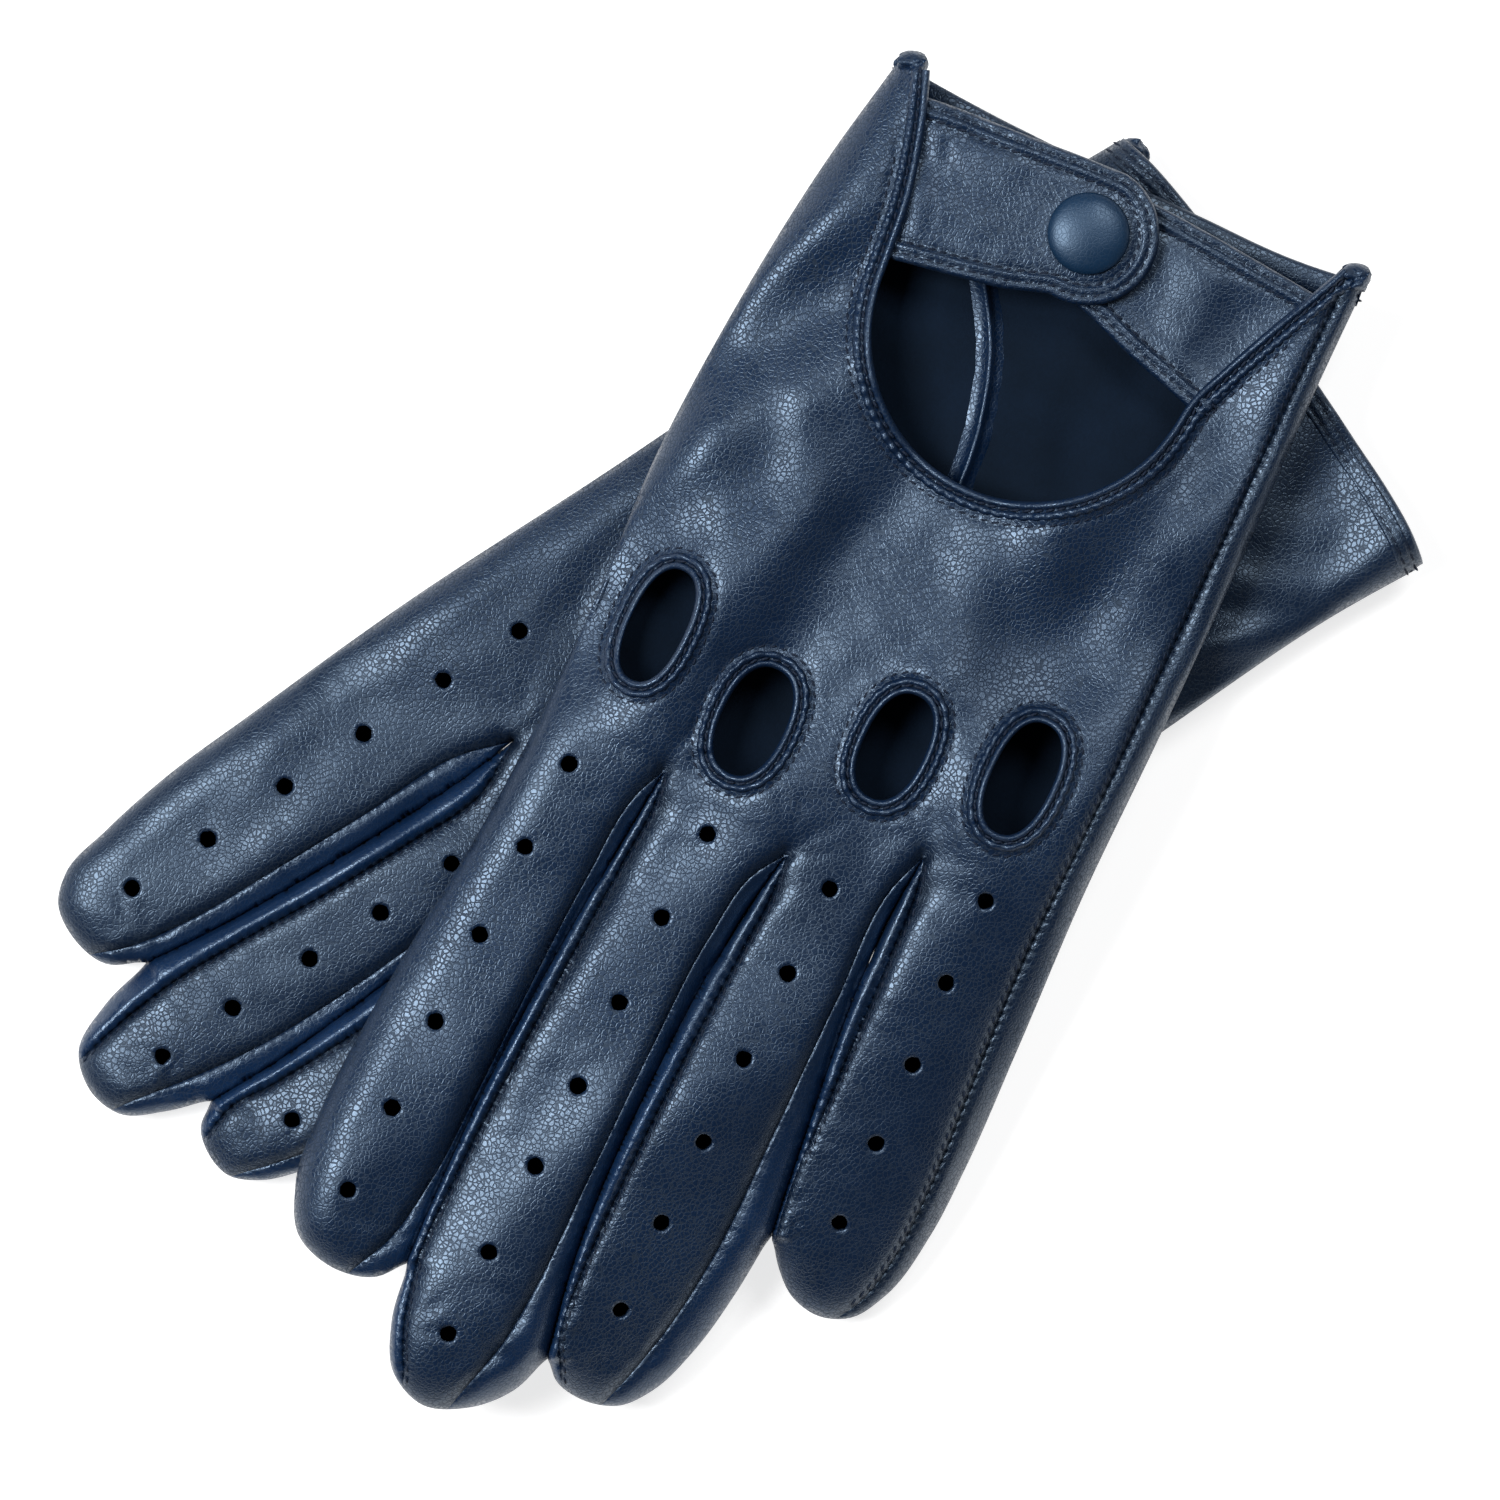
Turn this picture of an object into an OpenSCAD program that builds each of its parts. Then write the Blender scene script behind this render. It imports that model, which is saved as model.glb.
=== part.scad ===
// A crossed pair of unlined leather driving gloves.
// The left glove lies on top with its back up, the right glove lies below it with its palm up.
// Both gloves are drawn by the same modules in a glove frame: X points to the index side, Y to the
// fingertips, and a level is a height above the outside of the palm. The origin is the middle of the
// pair's footprint on the table.

/* [Hand] */
// Length from the cuff to the knuckle line, where the fingers start
palm_length = 125; // [110:1:150]
// Width of the cuff, laid flat
cuff_w = 83; // [79:1:100]
// Height of a glove as it lies, outside to outside
glove_t = 10; // [8.5:0.5:14]
// Thickness of the leather
leather_t = 1; // [0.7:0.1:1.4]

/* [Fingers] */
// Spacing of the fingers at the knuckle line
finger_pitch = 24.1; // [22.5:0.1:30]
// How much wider the fingers are spaced at their tips
tip_spread = 0.9; // [0:0.1:2]
// Space between neighbouring fingers
finger_gap = 0.5; // [0.3:0.1:1.5]
// Length of the little finger past the knuckle line
little_l = 69.5; // [55:0.5:85]
// Length of the ring finger past the knuckle line
ring_l = 98.5; // [80:0.5:120]
// Length of the middle finger past the knuckle line
middle_l = 110.5; // [90:0.5:135]
// Length of the index finger past the knuckle line
index_l = 96; // [80:0.5:120]
// Width of the flattened thumb at its root
thumb_w = 25; // [20:0.5:26]
// Thickness of the flattened thumb
thumb_t = 5; // [4:0.2:8]

/* [Openings] */
// Width of a knuckle hole
knuckle_w = 10; // [7:0.5:12]
// Length of a knuckle hole
knuckle_l = 19.2; // [14:0.2:24]
// Radius of the round top of the wrist opening
vent_r = 27; // [20:0.5:30]
// Width of the wrist opening at the cuff
vent_cuff_w = 74; // [60:1:75]
// Width of the leather binding around an opening
binding_w = 3.6; // [2.5:0.1:4.5]
// Diameter of a perforation in a finger
hole_d = 3; // [1.5:0.1:4]
// Spacing of the perforations
hole_pitch = 15.6; // [13:0.1:17]

/* [Strap] */
// Radius of the round end of the strap tab
tab_r = 12; // [10:0.5:13]
// Thickness of the doubled leather of the tab
tab_t = 1.8; // [1.4:0.1:2.4]
// Distance of the snap from the cuff edge
snap_y = 13.3; // [13:0.1:15]

/* [Snap fastener] */
// Diameter of the leather covered cap
cap_d = 13.6; // [11:0.1:16]
// Height of the cap
cap_h = 2.55; // [2:0.05:4]
// Diameter of the stud's ball
stud_d = 5.2; // [4.3:0.05:6.3]

/* [Pair] */
// Angle between the two gloves
cross_angle = 30.5; // [20:0.5:45]
// Space between the lower glove, with the thumbs on it, and the upper glove
rest_gap = 0.4; // [0.3:0.1:3]

/* [Hidden] */
$fn = 40;
UPPER = 0;
LOWER = 1;
FINGER_NAMES = ["little", "ring", "middle", "index"];
FINGER_LENGTHS = [little_l, ring_l, middle_l, index_l];
// Where the middle of the finger row lies across each glove, at the knuckles and at the tips
ROW_BASE = [2.9, -2];
ROW_TIP = [4.4, -4.5];
// The point of each glove where the two gloves cross
ANCHOR = [[6.6, 85.9], [0, 80]];
// Depth of the crotches past the knuckle line, on the back, and how much longer they are on the palm
CROTCH = [-8, 2, -2];
// First perforation of each finger past the knuckle line, and the number of them
HOLE_START = [-5, 4, 4.5, 4];
HOLE_COUNT = [5, 6, 7, 6];
hole_shift = 2.5;
// Middle of each knuckle hole, from its finger's axis and from the knuckle line
KNUCKLE_AT = [[7, -26], [4, -21.7], [2.6, -15.5], [-0.6, -23]];
seam = 0.05;           // space between pieces that are sewn together
fit = 0.3;             // space between pieces that move against each other
side_rise = 70;        // distance from the cuff at which the palm reaches its full width
palm_crotch = 18;      // how much farther the fingers are joined on the palm than on the back
lip_w = 4;             // width of the palm leather that is rolled over the little finger edge
binding_rise = 0.9;    // how far a binding stands above the back
binding_depth = 0.4;   // how far a binding reaches below the back leather
hem_w = 4.4;
hem_t = 2.2;
hem_bulge = 1.5;
vent_x = 3;
vent_y = 32.5;
snap_x = 2.5;
back_level = glove_t;  // outside of the back leather
back_inside = glove_t - leather_t;
finger_w = finger_pitch - finger_gap;
tip_pitch = finger_pitch + tip_spread;
tip_w = tip_pitch - finger_gap;
// Snap fastener, turned about one axis
flange_d = 11;
flange_t = 0.4;
socket_t = 0.7;
socket_d = stud_d + 0.6;
barrel_in_d = stud_d + 1.2;
barrel_d = barrel_in_d + 1;
tube_d = 2.4;
tube_in_d = 1.6;
stud_neck_d = 4.2;
stud_top = 2.1;        // height of the stud above the strap
ball_t = 1;
// Strap between the two flaps, and the tab on top of it
strap_t = 1.2;
strap_sink = 1.6;      // how far the strap lies below the back, so that the tab is level with the bindings
strap_level = back_level - strap_sink;
strap_low = 3.5;
strap_high = 31.7;
strap_waist = 24;
strap_end = 29.5;
tab_low = 3.5;
tab_high = 31;
tab_root_low = [leg_x(tab_low) - fit, tab_low];
tab_root_high = [leg_x(tab_high) - fit, tab_high];
tab_taper = 10;        // lean of the round end towards the root's upper corner
tab_level = strap_level + flange_t + socket_t + 3 * seam;
cap_level = tab_level + tab_t + seam;
post_low = strap_level - strap_t - seam - flange_t;
// Drape: where the upper glove starts to hang down beside the lower one, and over what distance
flat_to_little = 48;
flat_to_index = 70;
hang_run = 52;
hang_steps = 10;
lift_flat = 34;        // length of the lower glove's cuff that lies level on its snap
lift_run = 30;
lift_steps = 8;
// The lower glove lies on its snap and on its knuckle bindings, and the upper glove lies on it
cuff_lift = cap_level + cap_h - glove_t;
upper_level = glove_t + max(cuff_lift, binding_rise + thumb_t) + rest_gap;
reach = 200;           // half the length of a draped sheet, more than any piece needs
// Thumbs, folded flat between the gloves: root and tip of each in its own glove
THUMB_ROOT = [[38.6, 70], [9.5, 78]];
THUMB_TIP = [[39.2, 112], [-20, 114]];
thumb_tip_w = thumb_w - 4;

// ---- curves ----
function smooth(s) = s <= 0 ? 0 : s >= 1 ? 1 : s * s * (3 - 2 * s);
function mix(a, b, s) = a + (b - a) * s;
function leg_x(y) = mix(vent_cuff_w / 2, vent_x + vent_r, y / vent_y); // index side of the wrist opening
function ellipse(w, l) = [for (i = [0:27]) [w / 2 * cos(i * 360 / 28), l / 2 * sin(i * 360 / 28)]];

// Height of the upper glove's palm at a distance u across the lower glove
function upper_rise(u) = upper_level * (u < 0
    ? 1 - smooth((-u - flat_to_little) / hang_run)
    : 1 - smooth((u - flat_to_index) / hang_run));

// Height of the lower glove's back at a distance v from its cuff
function lower_rise(v) = mix(cuff_lift, binding_rise, smooth((v - lift_flat) / lift_run));

function band(stations, rises, low, high) = concat(
    [for (i = [0:len(stations) - 1]) [stations[i], rises[i] + low]],
    [for (i = [len(stations) - 1:-1:0]) [stations[i], rises[i] + high]]);

UPPER_STATIONS = concat(
    [-reach],
    [for (i = [hang_steps:-1:0]) -flat_to_little - hang_run * i / hang_steps],
    [for (i = [0:hang_steps]) flat_to_index + hang_run * i / hang_steps],
    [reach]);
LOWER_STATIONS = concat([-reach], [for (i = [0:lift_steps]) lift_flat + lift_run * i / lift_steps], [1.5 * reach]);

// ---- placing ----
function turned(p) = [
    p[0] * cos(cross_angle) + p[1] * sin(cross_angle),
    p[1] * cos(cross_angle) - p[0] * sin(cross_angle)];
LOWER_TIPS = [for (i = [2, 3]) turned(tip_at(LOWER, i) - ANCHOR[LOWER])[0] + tip_w / 2];
// Middle of the pair's footprint, from the point where the gloves cross
FOOTPRINT = [
    (turned([-cuff_w / 2, 0] - ANCHOR[LOWER])[0] + max(LOWER_TIPS)) / 2,
    (turned([cuff_w / 2 - leather_t, -hem_bulge] - ANCHOR[LOWER])[1] + palm_length + middle_l - ANCHOR[UPPER][1]) / 2];

module place(hand) {
    translate([-FOOTPRINT[0], -FOOTPRINT[1], 0])
        rotate([0, 0, hand == LOWER ? -cross_angle : 0])
            translate([-ANCHOR[hand][0], -ANCHOR[hand][1], 0]) children();
}

// A sheet between two levels that hangs as its glove does
module sheet(hand, low, high) {
    if (hand == UPPER) {
        rises = [for (u = UPPER_STATIONS) upper_rise(u)];
        translate([-FOOTPRINT[0], -FOOTPRINT[1], 0]) rotate([0, 0, -cross_angle]) rotate([90, 0, 0])
            linear_extrude(height = 2 * reach, center = true)
                polygon(band(UPPER_STATIONS, rises, low, high));
    } else {
        rises = [for (v = LOWER_STATIONS) lower_rise(v)];
        place(LOWER) rotate([90, 0, 90])
            linear_extrude(height = 2 * reach, center = true)
                polygon(band(LOWER_STATIONS, rises, glove_t - high, glove_t - low));
    }
}

// The outline drawn by its children, as leather between two levels of a glove
module leather(hand, low, high) {
    intersection() {
        sheet(hand, low, high);
        place(hand) translate([0, 0, -20]) linear_extrude(height = 100) children();
    }
}

// Round pieces on the snap's axis, drawn with Z as the level
module at_snap(hand) {
    level = hand == UPPER ? upper_level : cuff_lift + glove_t;
    place(hand) translate([snap_x, snap_y, level])
        mirror([0, 0, hand == LOWER ? 1 : 0]) children();
}

// ---- outlines ----
function base_at(hand, i) = [ROW_BASE[hand] + (i - 1.5) * finger_pitch, palm_length - 10];
function tip_at(hand, i) = [ROW_TIP[hand] + (i - 1.5) * tip_pitch, palm_length + FINGER_LENGTHS[i] - tip_w / 2];
function axis_at(hand, i, y) = mix(base_at(hand, i)[0], tip_at(hand, i)[0],
    (y - base_at(hand, i)[1]) / (tip_at(hand, i)[1] - base_at(hand, i)[1]));
function index_edge(hand, y) = mix(cuff_w / 2, base_at(hand, 3)[0] + finger_w / 2, sin(90 * min(1, y / side_rise)));
function little_edge(hand, y) = mix(-cuff_w / 2, base_at(hand, 0)[0] - finger_w / 2, y / palm_length);

// Outline of two round ends and the straight sides between them
function arc(centre, r, from, to) = [for (s = [0:1 / 12:1.001])
    centre + r * [cos(mix(from, to, s)), sin(mix(from, to, s))]];
function capsule(a, ra, b, rb) = let (
    heading = atan2(b[1] - a[1], b[0] - a[0]),
    touch = acos((ra - rb) / norm(b - a)))
    concat(arc(b, rb, heading - touch, heading + touch), arc(a, ra, heading + touch, heading + 360 - touch));

function slit_at(hand, i, y) = (axis_at(hand, i, y) + axis_at(hand, i + 1, y)) / 2;

// The hand's outline from the little finger edge of the cuff, round the fingers, to the index edge
function hand_points(hand, inset, low, extra) = concat(
    [for (s = [0:0.1:1]) let (y = mix(low, base_at(hand, 0)[1], s)) [little_edge(hand, y) + inset, y]],
    [for (i = [0:3]) each concat(
        i == 0 ? [] : [crotch_point(hand, i - 1, extra, finger_gap / 2 + inset)],
        arc(tip_at(hand, i), tip_w / 2 - inset, 180, 0),
        i == 3 ? [] : [crotch_point(hand, i, extra, -finger_gap / 2 - inset)])],
    [for (s = [1:-0.1:0]) let (y = mix(low, base_at(hand, 3)[1], s)) [index_edge(hand, y) - inset, y]]);
function crotch_point(hand, i, extra, side) = let (y = palm_length + CROTCH[i] + extra)
    [slit_at(hand, i, y) + side, y];

module hand_outline(hand, inset = 0, low = 0, extra = 0) {
    polygon(hand_points(hand, inset, low, extra));
}

module finger(hand, i, inset = 0) {
    polygon(capsule(base_at(hand, i), finger_w / 2 - inset, tip_at(hand, i), tip_w / 2 - inset));
}

module vent(grow = 0) {
    half = vent_cuff_w / 2 + grow;
    polygon(concat(
        [[-half, -20], [-half, 0]],
        arc([vent_x, vent_y], vent_r + grow, 180, 0),
        [[half, 0], [half, -20]]));
}

module knuckle(hand, i, grow = 0) {
    y = palm_length + KNUCKLE_AT[i][1];
    translate([axis_at(hand, i, palm_length) + KNUCKLE_AT[i][0], y])
        polygon(ellipse(knuckle_w + 2 * grow, knuckle_l + 2 * grow));
}

// The small holes in the fingers of one side. On the hand's other side, between = 1 puts them between these
module perforations(hand, between) {
    for (i = [0:3]) for (k = [0:HOLE_COUNT[i] - 1 - between]) {
        y = palm_length + HOLE_START[i] + (k + between / 2) * hole_pitch;
        translate([axis_at(hand, i, y) + hole_shift, y]) circle(d = hole_d);
    }
}

// The strip along the little finger edge where the palm leather is rolled over
module lip(hand, extra = 0) {
    top = tip_at(hand, 0)[1];
    intersection() {
        difference() {
            hand_outline(hand);
            translate([lip_w + extra, 0]) hand_outline(hand, 0, -10);
        }
        translate([-reach, -1]) square([reach + axis_at(hand, 0, top), top + 1]);
    }
}

// The walls of one finger, as a ring that the side pieces are cut from
module finger_ring(hand, i) {
    difference() {
        finger(hand, i);
        finger(hand, i, leather_t);
    }
}

// The outer edge and the fingertips: the fourchettes take the place of the wall between the fingers
module side_wall(hand) {
    difference() {
        hand_outline(hand);
        hand_outline(hand, leather_t, -1);
        for (i = [0:3]) {
            left = tip_at(hand, i)[0] - (i == 0 ? 0 : tip_pitch / 2);
            right = tip_at(hand, i)[0] + (i == 3 ? 0 : tip_pitch / 2);
            translate([left, 20]) square([right - left, tip_at(hand, i)[1] - 20 + seam]);
        }
    }
}

// ---- sub-parts ----
module back_panel(hand) {
    color("#3c4660") leather(hand, back_inside, back_level) difference() {
        hand_outline(hand);
        vent(binding_w + seam);
        for (i = [0:3]) knuckle(hand, i, binding_w + seam);
        perforations(hand, hand == UPPER ? 0 : 1);
        lip(hand, seam);
    }
}

module palm_panel(hand) {
    color("#384360") {
        leather(hand, 0, leather_t) difference() {
            hand_outline(hand, 0, hem_w - hem_bulge + seam, palm_crotch);
            perforations(hand, hand == UPPER ? 1 : 0);
        }
        leather(hand, leather_t, back_inside - seam) side_wall(hand);
        leather(hand, back_inside - seam, back_level) lip(hand);
    }
}

module thumb(hand) {
    color("#34405c") leather(hand, -seam - thumb_t, -seam)
        polygon(capsule(THUMB_ROOT[hand], thumb_w / 2, THUMB_TIP[hand], thumb_tip_w / 2));
}

module cuff_hem(hand) {
    color("#3a4562") leather(hand, 0, hem_t) intersection() {
        hand_outline(hand, leather_t + seam, -hem_bulge);
        translate([-reach, -hem_bulge]) square([2 * reach, hem_w]);
    }
}

module wrist_binding(hand) {
    color("#414d6c") leather(hand, back_inside - binding_depth, back_level + binding_rise) difference() {
        intersection() {
            vent(binding_w);
            hand_outline(hand);
        }
        vent();
        lip(hand, seam);
    }
}

module knuckle_binding(hand, i) {
    color("#414d6c") leather(hand, back_inside - binding_depth, back_level + binding_rise) difference() {
        knuckle(hand, i, binding_w);
        knuckle(hand, i);
    }
}

// The side strip of finger i that faces its neighbour: side -1 faces the little finger, 1 the index finger
module fourchette(hand, i, side) {
    crotch = palm_length + CROTCH[side < 0 ? i - 1 : i];
    top = tip_at(hand, i)[1];
    color("#3f4f76") leather(hand, leather_t + seam, back_inside - seam) intersection() {
        finger_ring(hand, i);
        translate([axis_at(hand, i, palm_length) + (side < 0 ? -tip_w : 0), crotch])
            square([tip_w, top - crotch]);
    }
}

module strap(hand) {
    color("#38445f") difference() {
        leather(hand, strap_level - strap_t, strap_level) intersection() {
            vent(-fit / 2);
            polygon([
                [-reach, strap_low], [strap_end, strap_low], [strap_end, strap_waist], [0, strap_waist],
                [vent_x - vent_r, strap_high], [-reach, strap_high]]);
        }
        at_snap(hand) translate([0, 0, strap_level - 3]) cylinder(d = tube_d + 2 * seam, h = 6);
    }
}

module tab(hand) {
    half_turn = arc([snap_x, snap_y], tab_r, 270 - tab_taper, 90 - tab_taper);
    color("#3d4864") difference() {
        leather(hand, tab_level, tab_level + tab_t) polygon(concat(half_turn, [tab_root_high, tab_root_low]));
        at_snap(hand) translate([0, 0, tab_level - 3]) cylinder(d = barrel_d + 2 * seam, h = 8);
    }
}

// The cap's dome and the barrel below it, which goes through the tab
module snap_cap(hand) {
    color("#2c4a70") at_snap(hand) rotate_extrude() {
        polygon(concat(
            [[0, cap_level], [cap_d / 2, cap_level], [cap_d / 2, cap_level + cap_h * 0.35]],
            [for (a = [10:10:90]) [cap_d / 2 * cos(a), cap_level + cap_h * (0.35 + 0.65 * sin(a))]]));
        translate([barrel_in_d / 2, tab_level])
            square([(barrel_d - barrel_in_d) / 2, cap_level - tab_level + seam]);
    }
}

module snap_socket(hand) {
    color("#b8bcc2") at_snap(hand) rotate_extrude()
        translate([socket_d / 2, tab_level - seam - socket_t]) square([(flange_d - socket_d) / 2, socket_t]);
}

module snap_stud(hand) {
    low = strap_level + seam;
    color("#b8bcc2") at_snap(hand) rotate_extrude() difference() {
        union() {
            translate([0, low]) square([flange_d / 2, flange_t]);
            translate([0, low]) square([stud_neck_d / 2, stud_top]);
            translate([0, low + stud_top - ball_t]) square([stud_d / 2, ball_t]);
        }
        translate([-1, low - 1]) square([1 + tube_d / 2 + seam, stud_top + 2]);
    }
}

module snap_post(hand) {
    color("#a9adb4") at_snap(hand) rotate_extrude() difference() {
        union() {
            translate([0, post_low]) square([flange_d / 2 - 1, flange_t]);
            translate([0, post_low]) square([tube_d / 2, strap_level + stud_top - post_low]);
        }
        translate([-1, post_low - 1]) square([1 + tube_in_d / 2, stud_top + 10]);
    }
}

back_panel(UPPER);  // upper_back_panel
palm_panel(UPPER);  // upper_palm_panel
thumb(UPPER);  // upper_thumb
cuff_hem(UPPER);  // upper_cuff_hem
wrist_binding(UPPER);  // upper_wrist_binding
knuckle_binding(UPPER, 0);  // upper_little_knuckle_binding
knuckle_binding(UPPER, 1);  // upper_ring_knuckle_binding
knuckle_binding(UPPER, 2);  // upper_middle_knuckle_binding
knuckle_binding(UPPER, 3);  // upper_index_knuckle_binding
fourchette(UPPER, 0, 1);  // upper_little_fourchette
fourchette(UPPER, 1, -1);  // upper_ring_outer_fourchette
fourchette(UPPER, 1, 1);  // upper_ring_inner_fourchette
fourchette(UPPER, 2, -1);  // upper_middle_outer_fourchette
fourchette(UPPER, 2, 1);  // upper_middle_inner_fourchette
fourchette(UPPER, 3, -1);  // upper_index_fourchette
strap(UPPER);  // upper_strap
tab(UPPER);  // upper_tab
snap_cap(UPPER);  // upper_snap_cap
snap_socket(UPPER);  // upper_snap_socket
snap_stud(UPPER);  // upper_snap_stud
snap_post(UPPER);  // upper_snap_post
back_panel(LOWER);  // lower_back_panel
palm_panel(LOWER);  // lower_palm_panel
thumb(LOWER);  // lower_thumb
cuff_hem(LOWER);  // lower_cuff_hem
wrist_binding(LOWER);  // lower_wrist_binding
knuckle_binding(LOWER, 0);  // lower_little_knuckle_binding
knuckle_binding(LOWER, 1);  // lower_ring_knuckle_binding
knuckle_binding(LOWER, 2);  // lower_middle_knuckle_binding
knuckle_binding(LOWER, 3);  // lower_index_knuckle_binding
fourchette(LOWER, 0, 1);  // lower_little_fourchette
fourchette(LOWER, 1, -1);  // lower_ring_outer_fourchette
fourchette(LOWER, 1, 1);  // lower_ring_inner_fourchette
fourchette(LOWER, 2, -1);  // lower_middle_outer_fourchette
fourchette(LOWER, 2, 1);  // lower_middle_inner_fourchette
fourchette(LOWER, 3, -1);  // lower_index_fourchette
strap(LOWER);  // lower_strap
tab(LOWER);  // lower_tab
snap_cap(LOWER);  // lower_snap_cap
snap_socket(LOWER);  // lower_snap_socket
snap_stud(LOWER);  // lower_snap_stud
snap_post(LOWER);  // lower_snap_post
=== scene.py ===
import math

import bmesh
import bpy
import numpy as np
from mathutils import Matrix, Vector
from mathutils.geometry import delaunay_2d_cdt
from mathutils.kdtree import KDTree


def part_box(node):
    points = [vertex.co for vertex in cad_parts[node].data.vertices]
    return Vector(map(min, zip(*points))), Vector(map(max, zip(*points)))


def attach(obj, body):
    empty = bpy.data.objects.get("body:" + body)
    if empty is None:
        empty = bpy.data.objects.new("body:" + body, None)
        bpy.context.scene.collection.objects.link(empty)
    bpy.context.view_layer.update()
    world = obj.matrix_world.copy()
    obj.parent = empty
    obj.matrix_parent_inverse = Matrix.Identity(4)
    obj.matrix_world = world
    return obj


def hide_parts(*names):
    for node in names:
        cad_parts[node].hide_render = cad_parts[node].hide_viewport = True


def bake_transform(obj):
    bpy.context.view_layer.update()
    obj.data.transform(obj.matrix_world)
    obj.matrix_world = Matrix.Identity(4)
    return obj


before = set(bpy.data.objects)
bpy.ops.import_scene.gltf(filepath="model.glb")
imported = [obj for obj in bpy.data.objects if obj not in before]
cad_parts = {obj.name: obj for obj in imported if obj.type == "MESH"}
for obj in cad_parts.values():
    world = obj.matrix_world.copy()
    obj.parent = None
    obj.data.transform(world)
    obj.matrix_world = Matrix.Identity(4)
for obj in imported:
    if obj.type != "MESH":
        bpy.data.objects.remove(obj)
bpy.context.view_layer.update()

# Every size below is in millimetres in a glove's own frame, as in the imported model: X to the index side,
# Y to the fingertips, and the level is the height above the outside of the palm.
THICKNESS = 10.0  # of a hand pressed flat
HALF = THICKNESS / 2
LEATHER = 0.9
SNAP = np.array([2.5, 13.3])  # middle of the snap fastener
CROSS = math.radians(30.5)  # from the upper glove's direction to the lower one's
STITCH_PITCH = 1.9
STITCH_SLANT = 0.2  # in radians
SLIT = 0.1  # half the gap between two fingers
FINGERS = ("little", "ring", "middle", "index")

# The upper glove lies at its level on the lower one, and hangs down beyond its two sides
UPPER_LEVEL = 16.3
FLAT_TO_LITTLE = 48.0
FLAT_TO_INDEX = 70.0
HANG_RUN = 52.0
# The lower glove is lifted at its cuff by the snap under it
CUFF_LIFT = 4.05
BASE_LIFT = 0.9
LIFT_FLAT = 34.0
LIFT_RUN = 30.0
PRESSED = 0.6  # below this height the leather is pressed flat on the table

STRAP_LEVEL = 8.4
TAB_LEVEL = 11.45
CAP_TOP = 14.05
CAP_LOW = 11.3

# The bindings of the knuckle holes are narrower than the section below, and the wrist opening's a little
KNUCKLE_RIM = 0.8
VENT_RIM = 0.94
INNER_ROW = 1.7  # from an opening's edge to the stitches in its groove
OUTER_ROW = 4.4


# ---- small mathematics ----
def smooth(s):
    """Rises softly from 0 to 1 as s does."""
    s = np.clip(s, 0, 1)
    return s * s * (3 - 2 * s)


def mix(a, b, s):
    return a + (b - a) * s


def bell(d, width):
    return np.exp(-(d / width) ** 2)


def squarish(value, power):
    """A sine or cosine that makes a circle a little squarer, the more so the smaller the power."""
    return np.sign(value) * np.abs(value) ** power


def spline(points, step, closed=False):
    """A smooth curve through the points, resampled about every step."""
    p = np.array(points, float)
    if closed:
        p = np.vstack([p, p[:1]])
    h = np.maximum(np.hypot(*np.diff(p[:, :2], axis=0).T), 1e-6)
    slope = np.diff(p, axis=0) / h[:, None]
    first, last = (slope[-1:], slope[:1]) if closed else (slope[:1], slope[-1:])
    before, after = np.vstack([first, slope]), np.vstack([slope, last])
    h_before = np.r_[h[-1] if closed else h[0], h]
    h_after = np.r_[h, h[0] if closed else h[-1]]
    tangent = (before * h_after[:, None] + after * h_before[:, None]) / (h_before + h_after)[:, None]
    out = []
    for i, length in enumerate(h):
        n = max(1, round(length / step))
        s = (np.arange(n) / n)[:, None]
        out.append((2 * s**3 - 3 * s**2 + 1) * p[i] + (s**3 - 2 * s**2 + s) * length * tangent[i]
                   + (3 * s**2 - 2 * s**3) * p[i + 1] + (s**3 - s**2) * length * tangent[i + 1])
    if not closed:
        out.append(p[-1:])
    return np.vstack(out)


def resample(line, step, closed=False):
    """Points evenly spaced along a line of straight pieces."""
    p = np.vstack([line, line[:1]]) if closed else np.asarray(line, float)
    along = np.r_[0, np.cumsum(np.hypot(*np.diff(p[:, :2], axis=0).T))]
    n = max(2, round(along[-1] / step))
    at = np.linspace(0, along[-1], n + 1)
    out = np.column_stack([np.interp(at, along, p[:, k]) for k in range(p.shape[1])])
    return out[:-1] if closed else out


def normals_of(line, closed=False):
    """Unit normals to the left of a line's direction."""
    p = np.asarray(line)[:, :2]
    if closed:
        d = np.roll(p, -1, 0) - np.roll(p, 1, 0)
    else:
        d = np.gradient(p, axis=0)
    d = d / np.maximum(np.hypot(d[:, 0], d[:, 1]), 1e-9)[:, None]
    return np.column_stack([-d[:, 1], d[:, 0]])


def nearest(points, line, closed=False):
    """Each point's distance from a line, how far along that is, and +1 on its left or -1 on its right."""
    p = np.vstack([line, line[:1]]) if closed else np.asarray(line, float)
    a, b = p[:-1, :2], p[1:, :2]
    d = b - a
    length = np.maximum(np.hypot(d[:, 0], d[:, 1]), 1e-9)
    along = np.r_[0, np.cumsum(length)[:-1]]
    distance, where, side = (np.empty(len(points)) for _ in range(3))
    for lo in range(0, len(points), 3000):
        q = points[lo:lo + 3000, None, :2] - a
        s = np.clip((q * d).sum(2) / length**2, 0, 1)
        gap = np.hypot(*np.moveaxis(q - s[..., None] * d, 2, 0))
        k = gap.argmin(1)
        rows = np.arange(len(k))
        distance[lo:lo + 3000] = gap[rows, k]
        where[lo:lo + 3000] = along[k] + s[rows, k] * length[k]
        cross = d[k, 0] * q[rows, k, 1] - d[k, 1] * q[rows, k, 0]
        side[lo:lo + 3000] = np.where(cross >= 0, 1.0, -1.0)
    return distance, where, side


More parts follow.
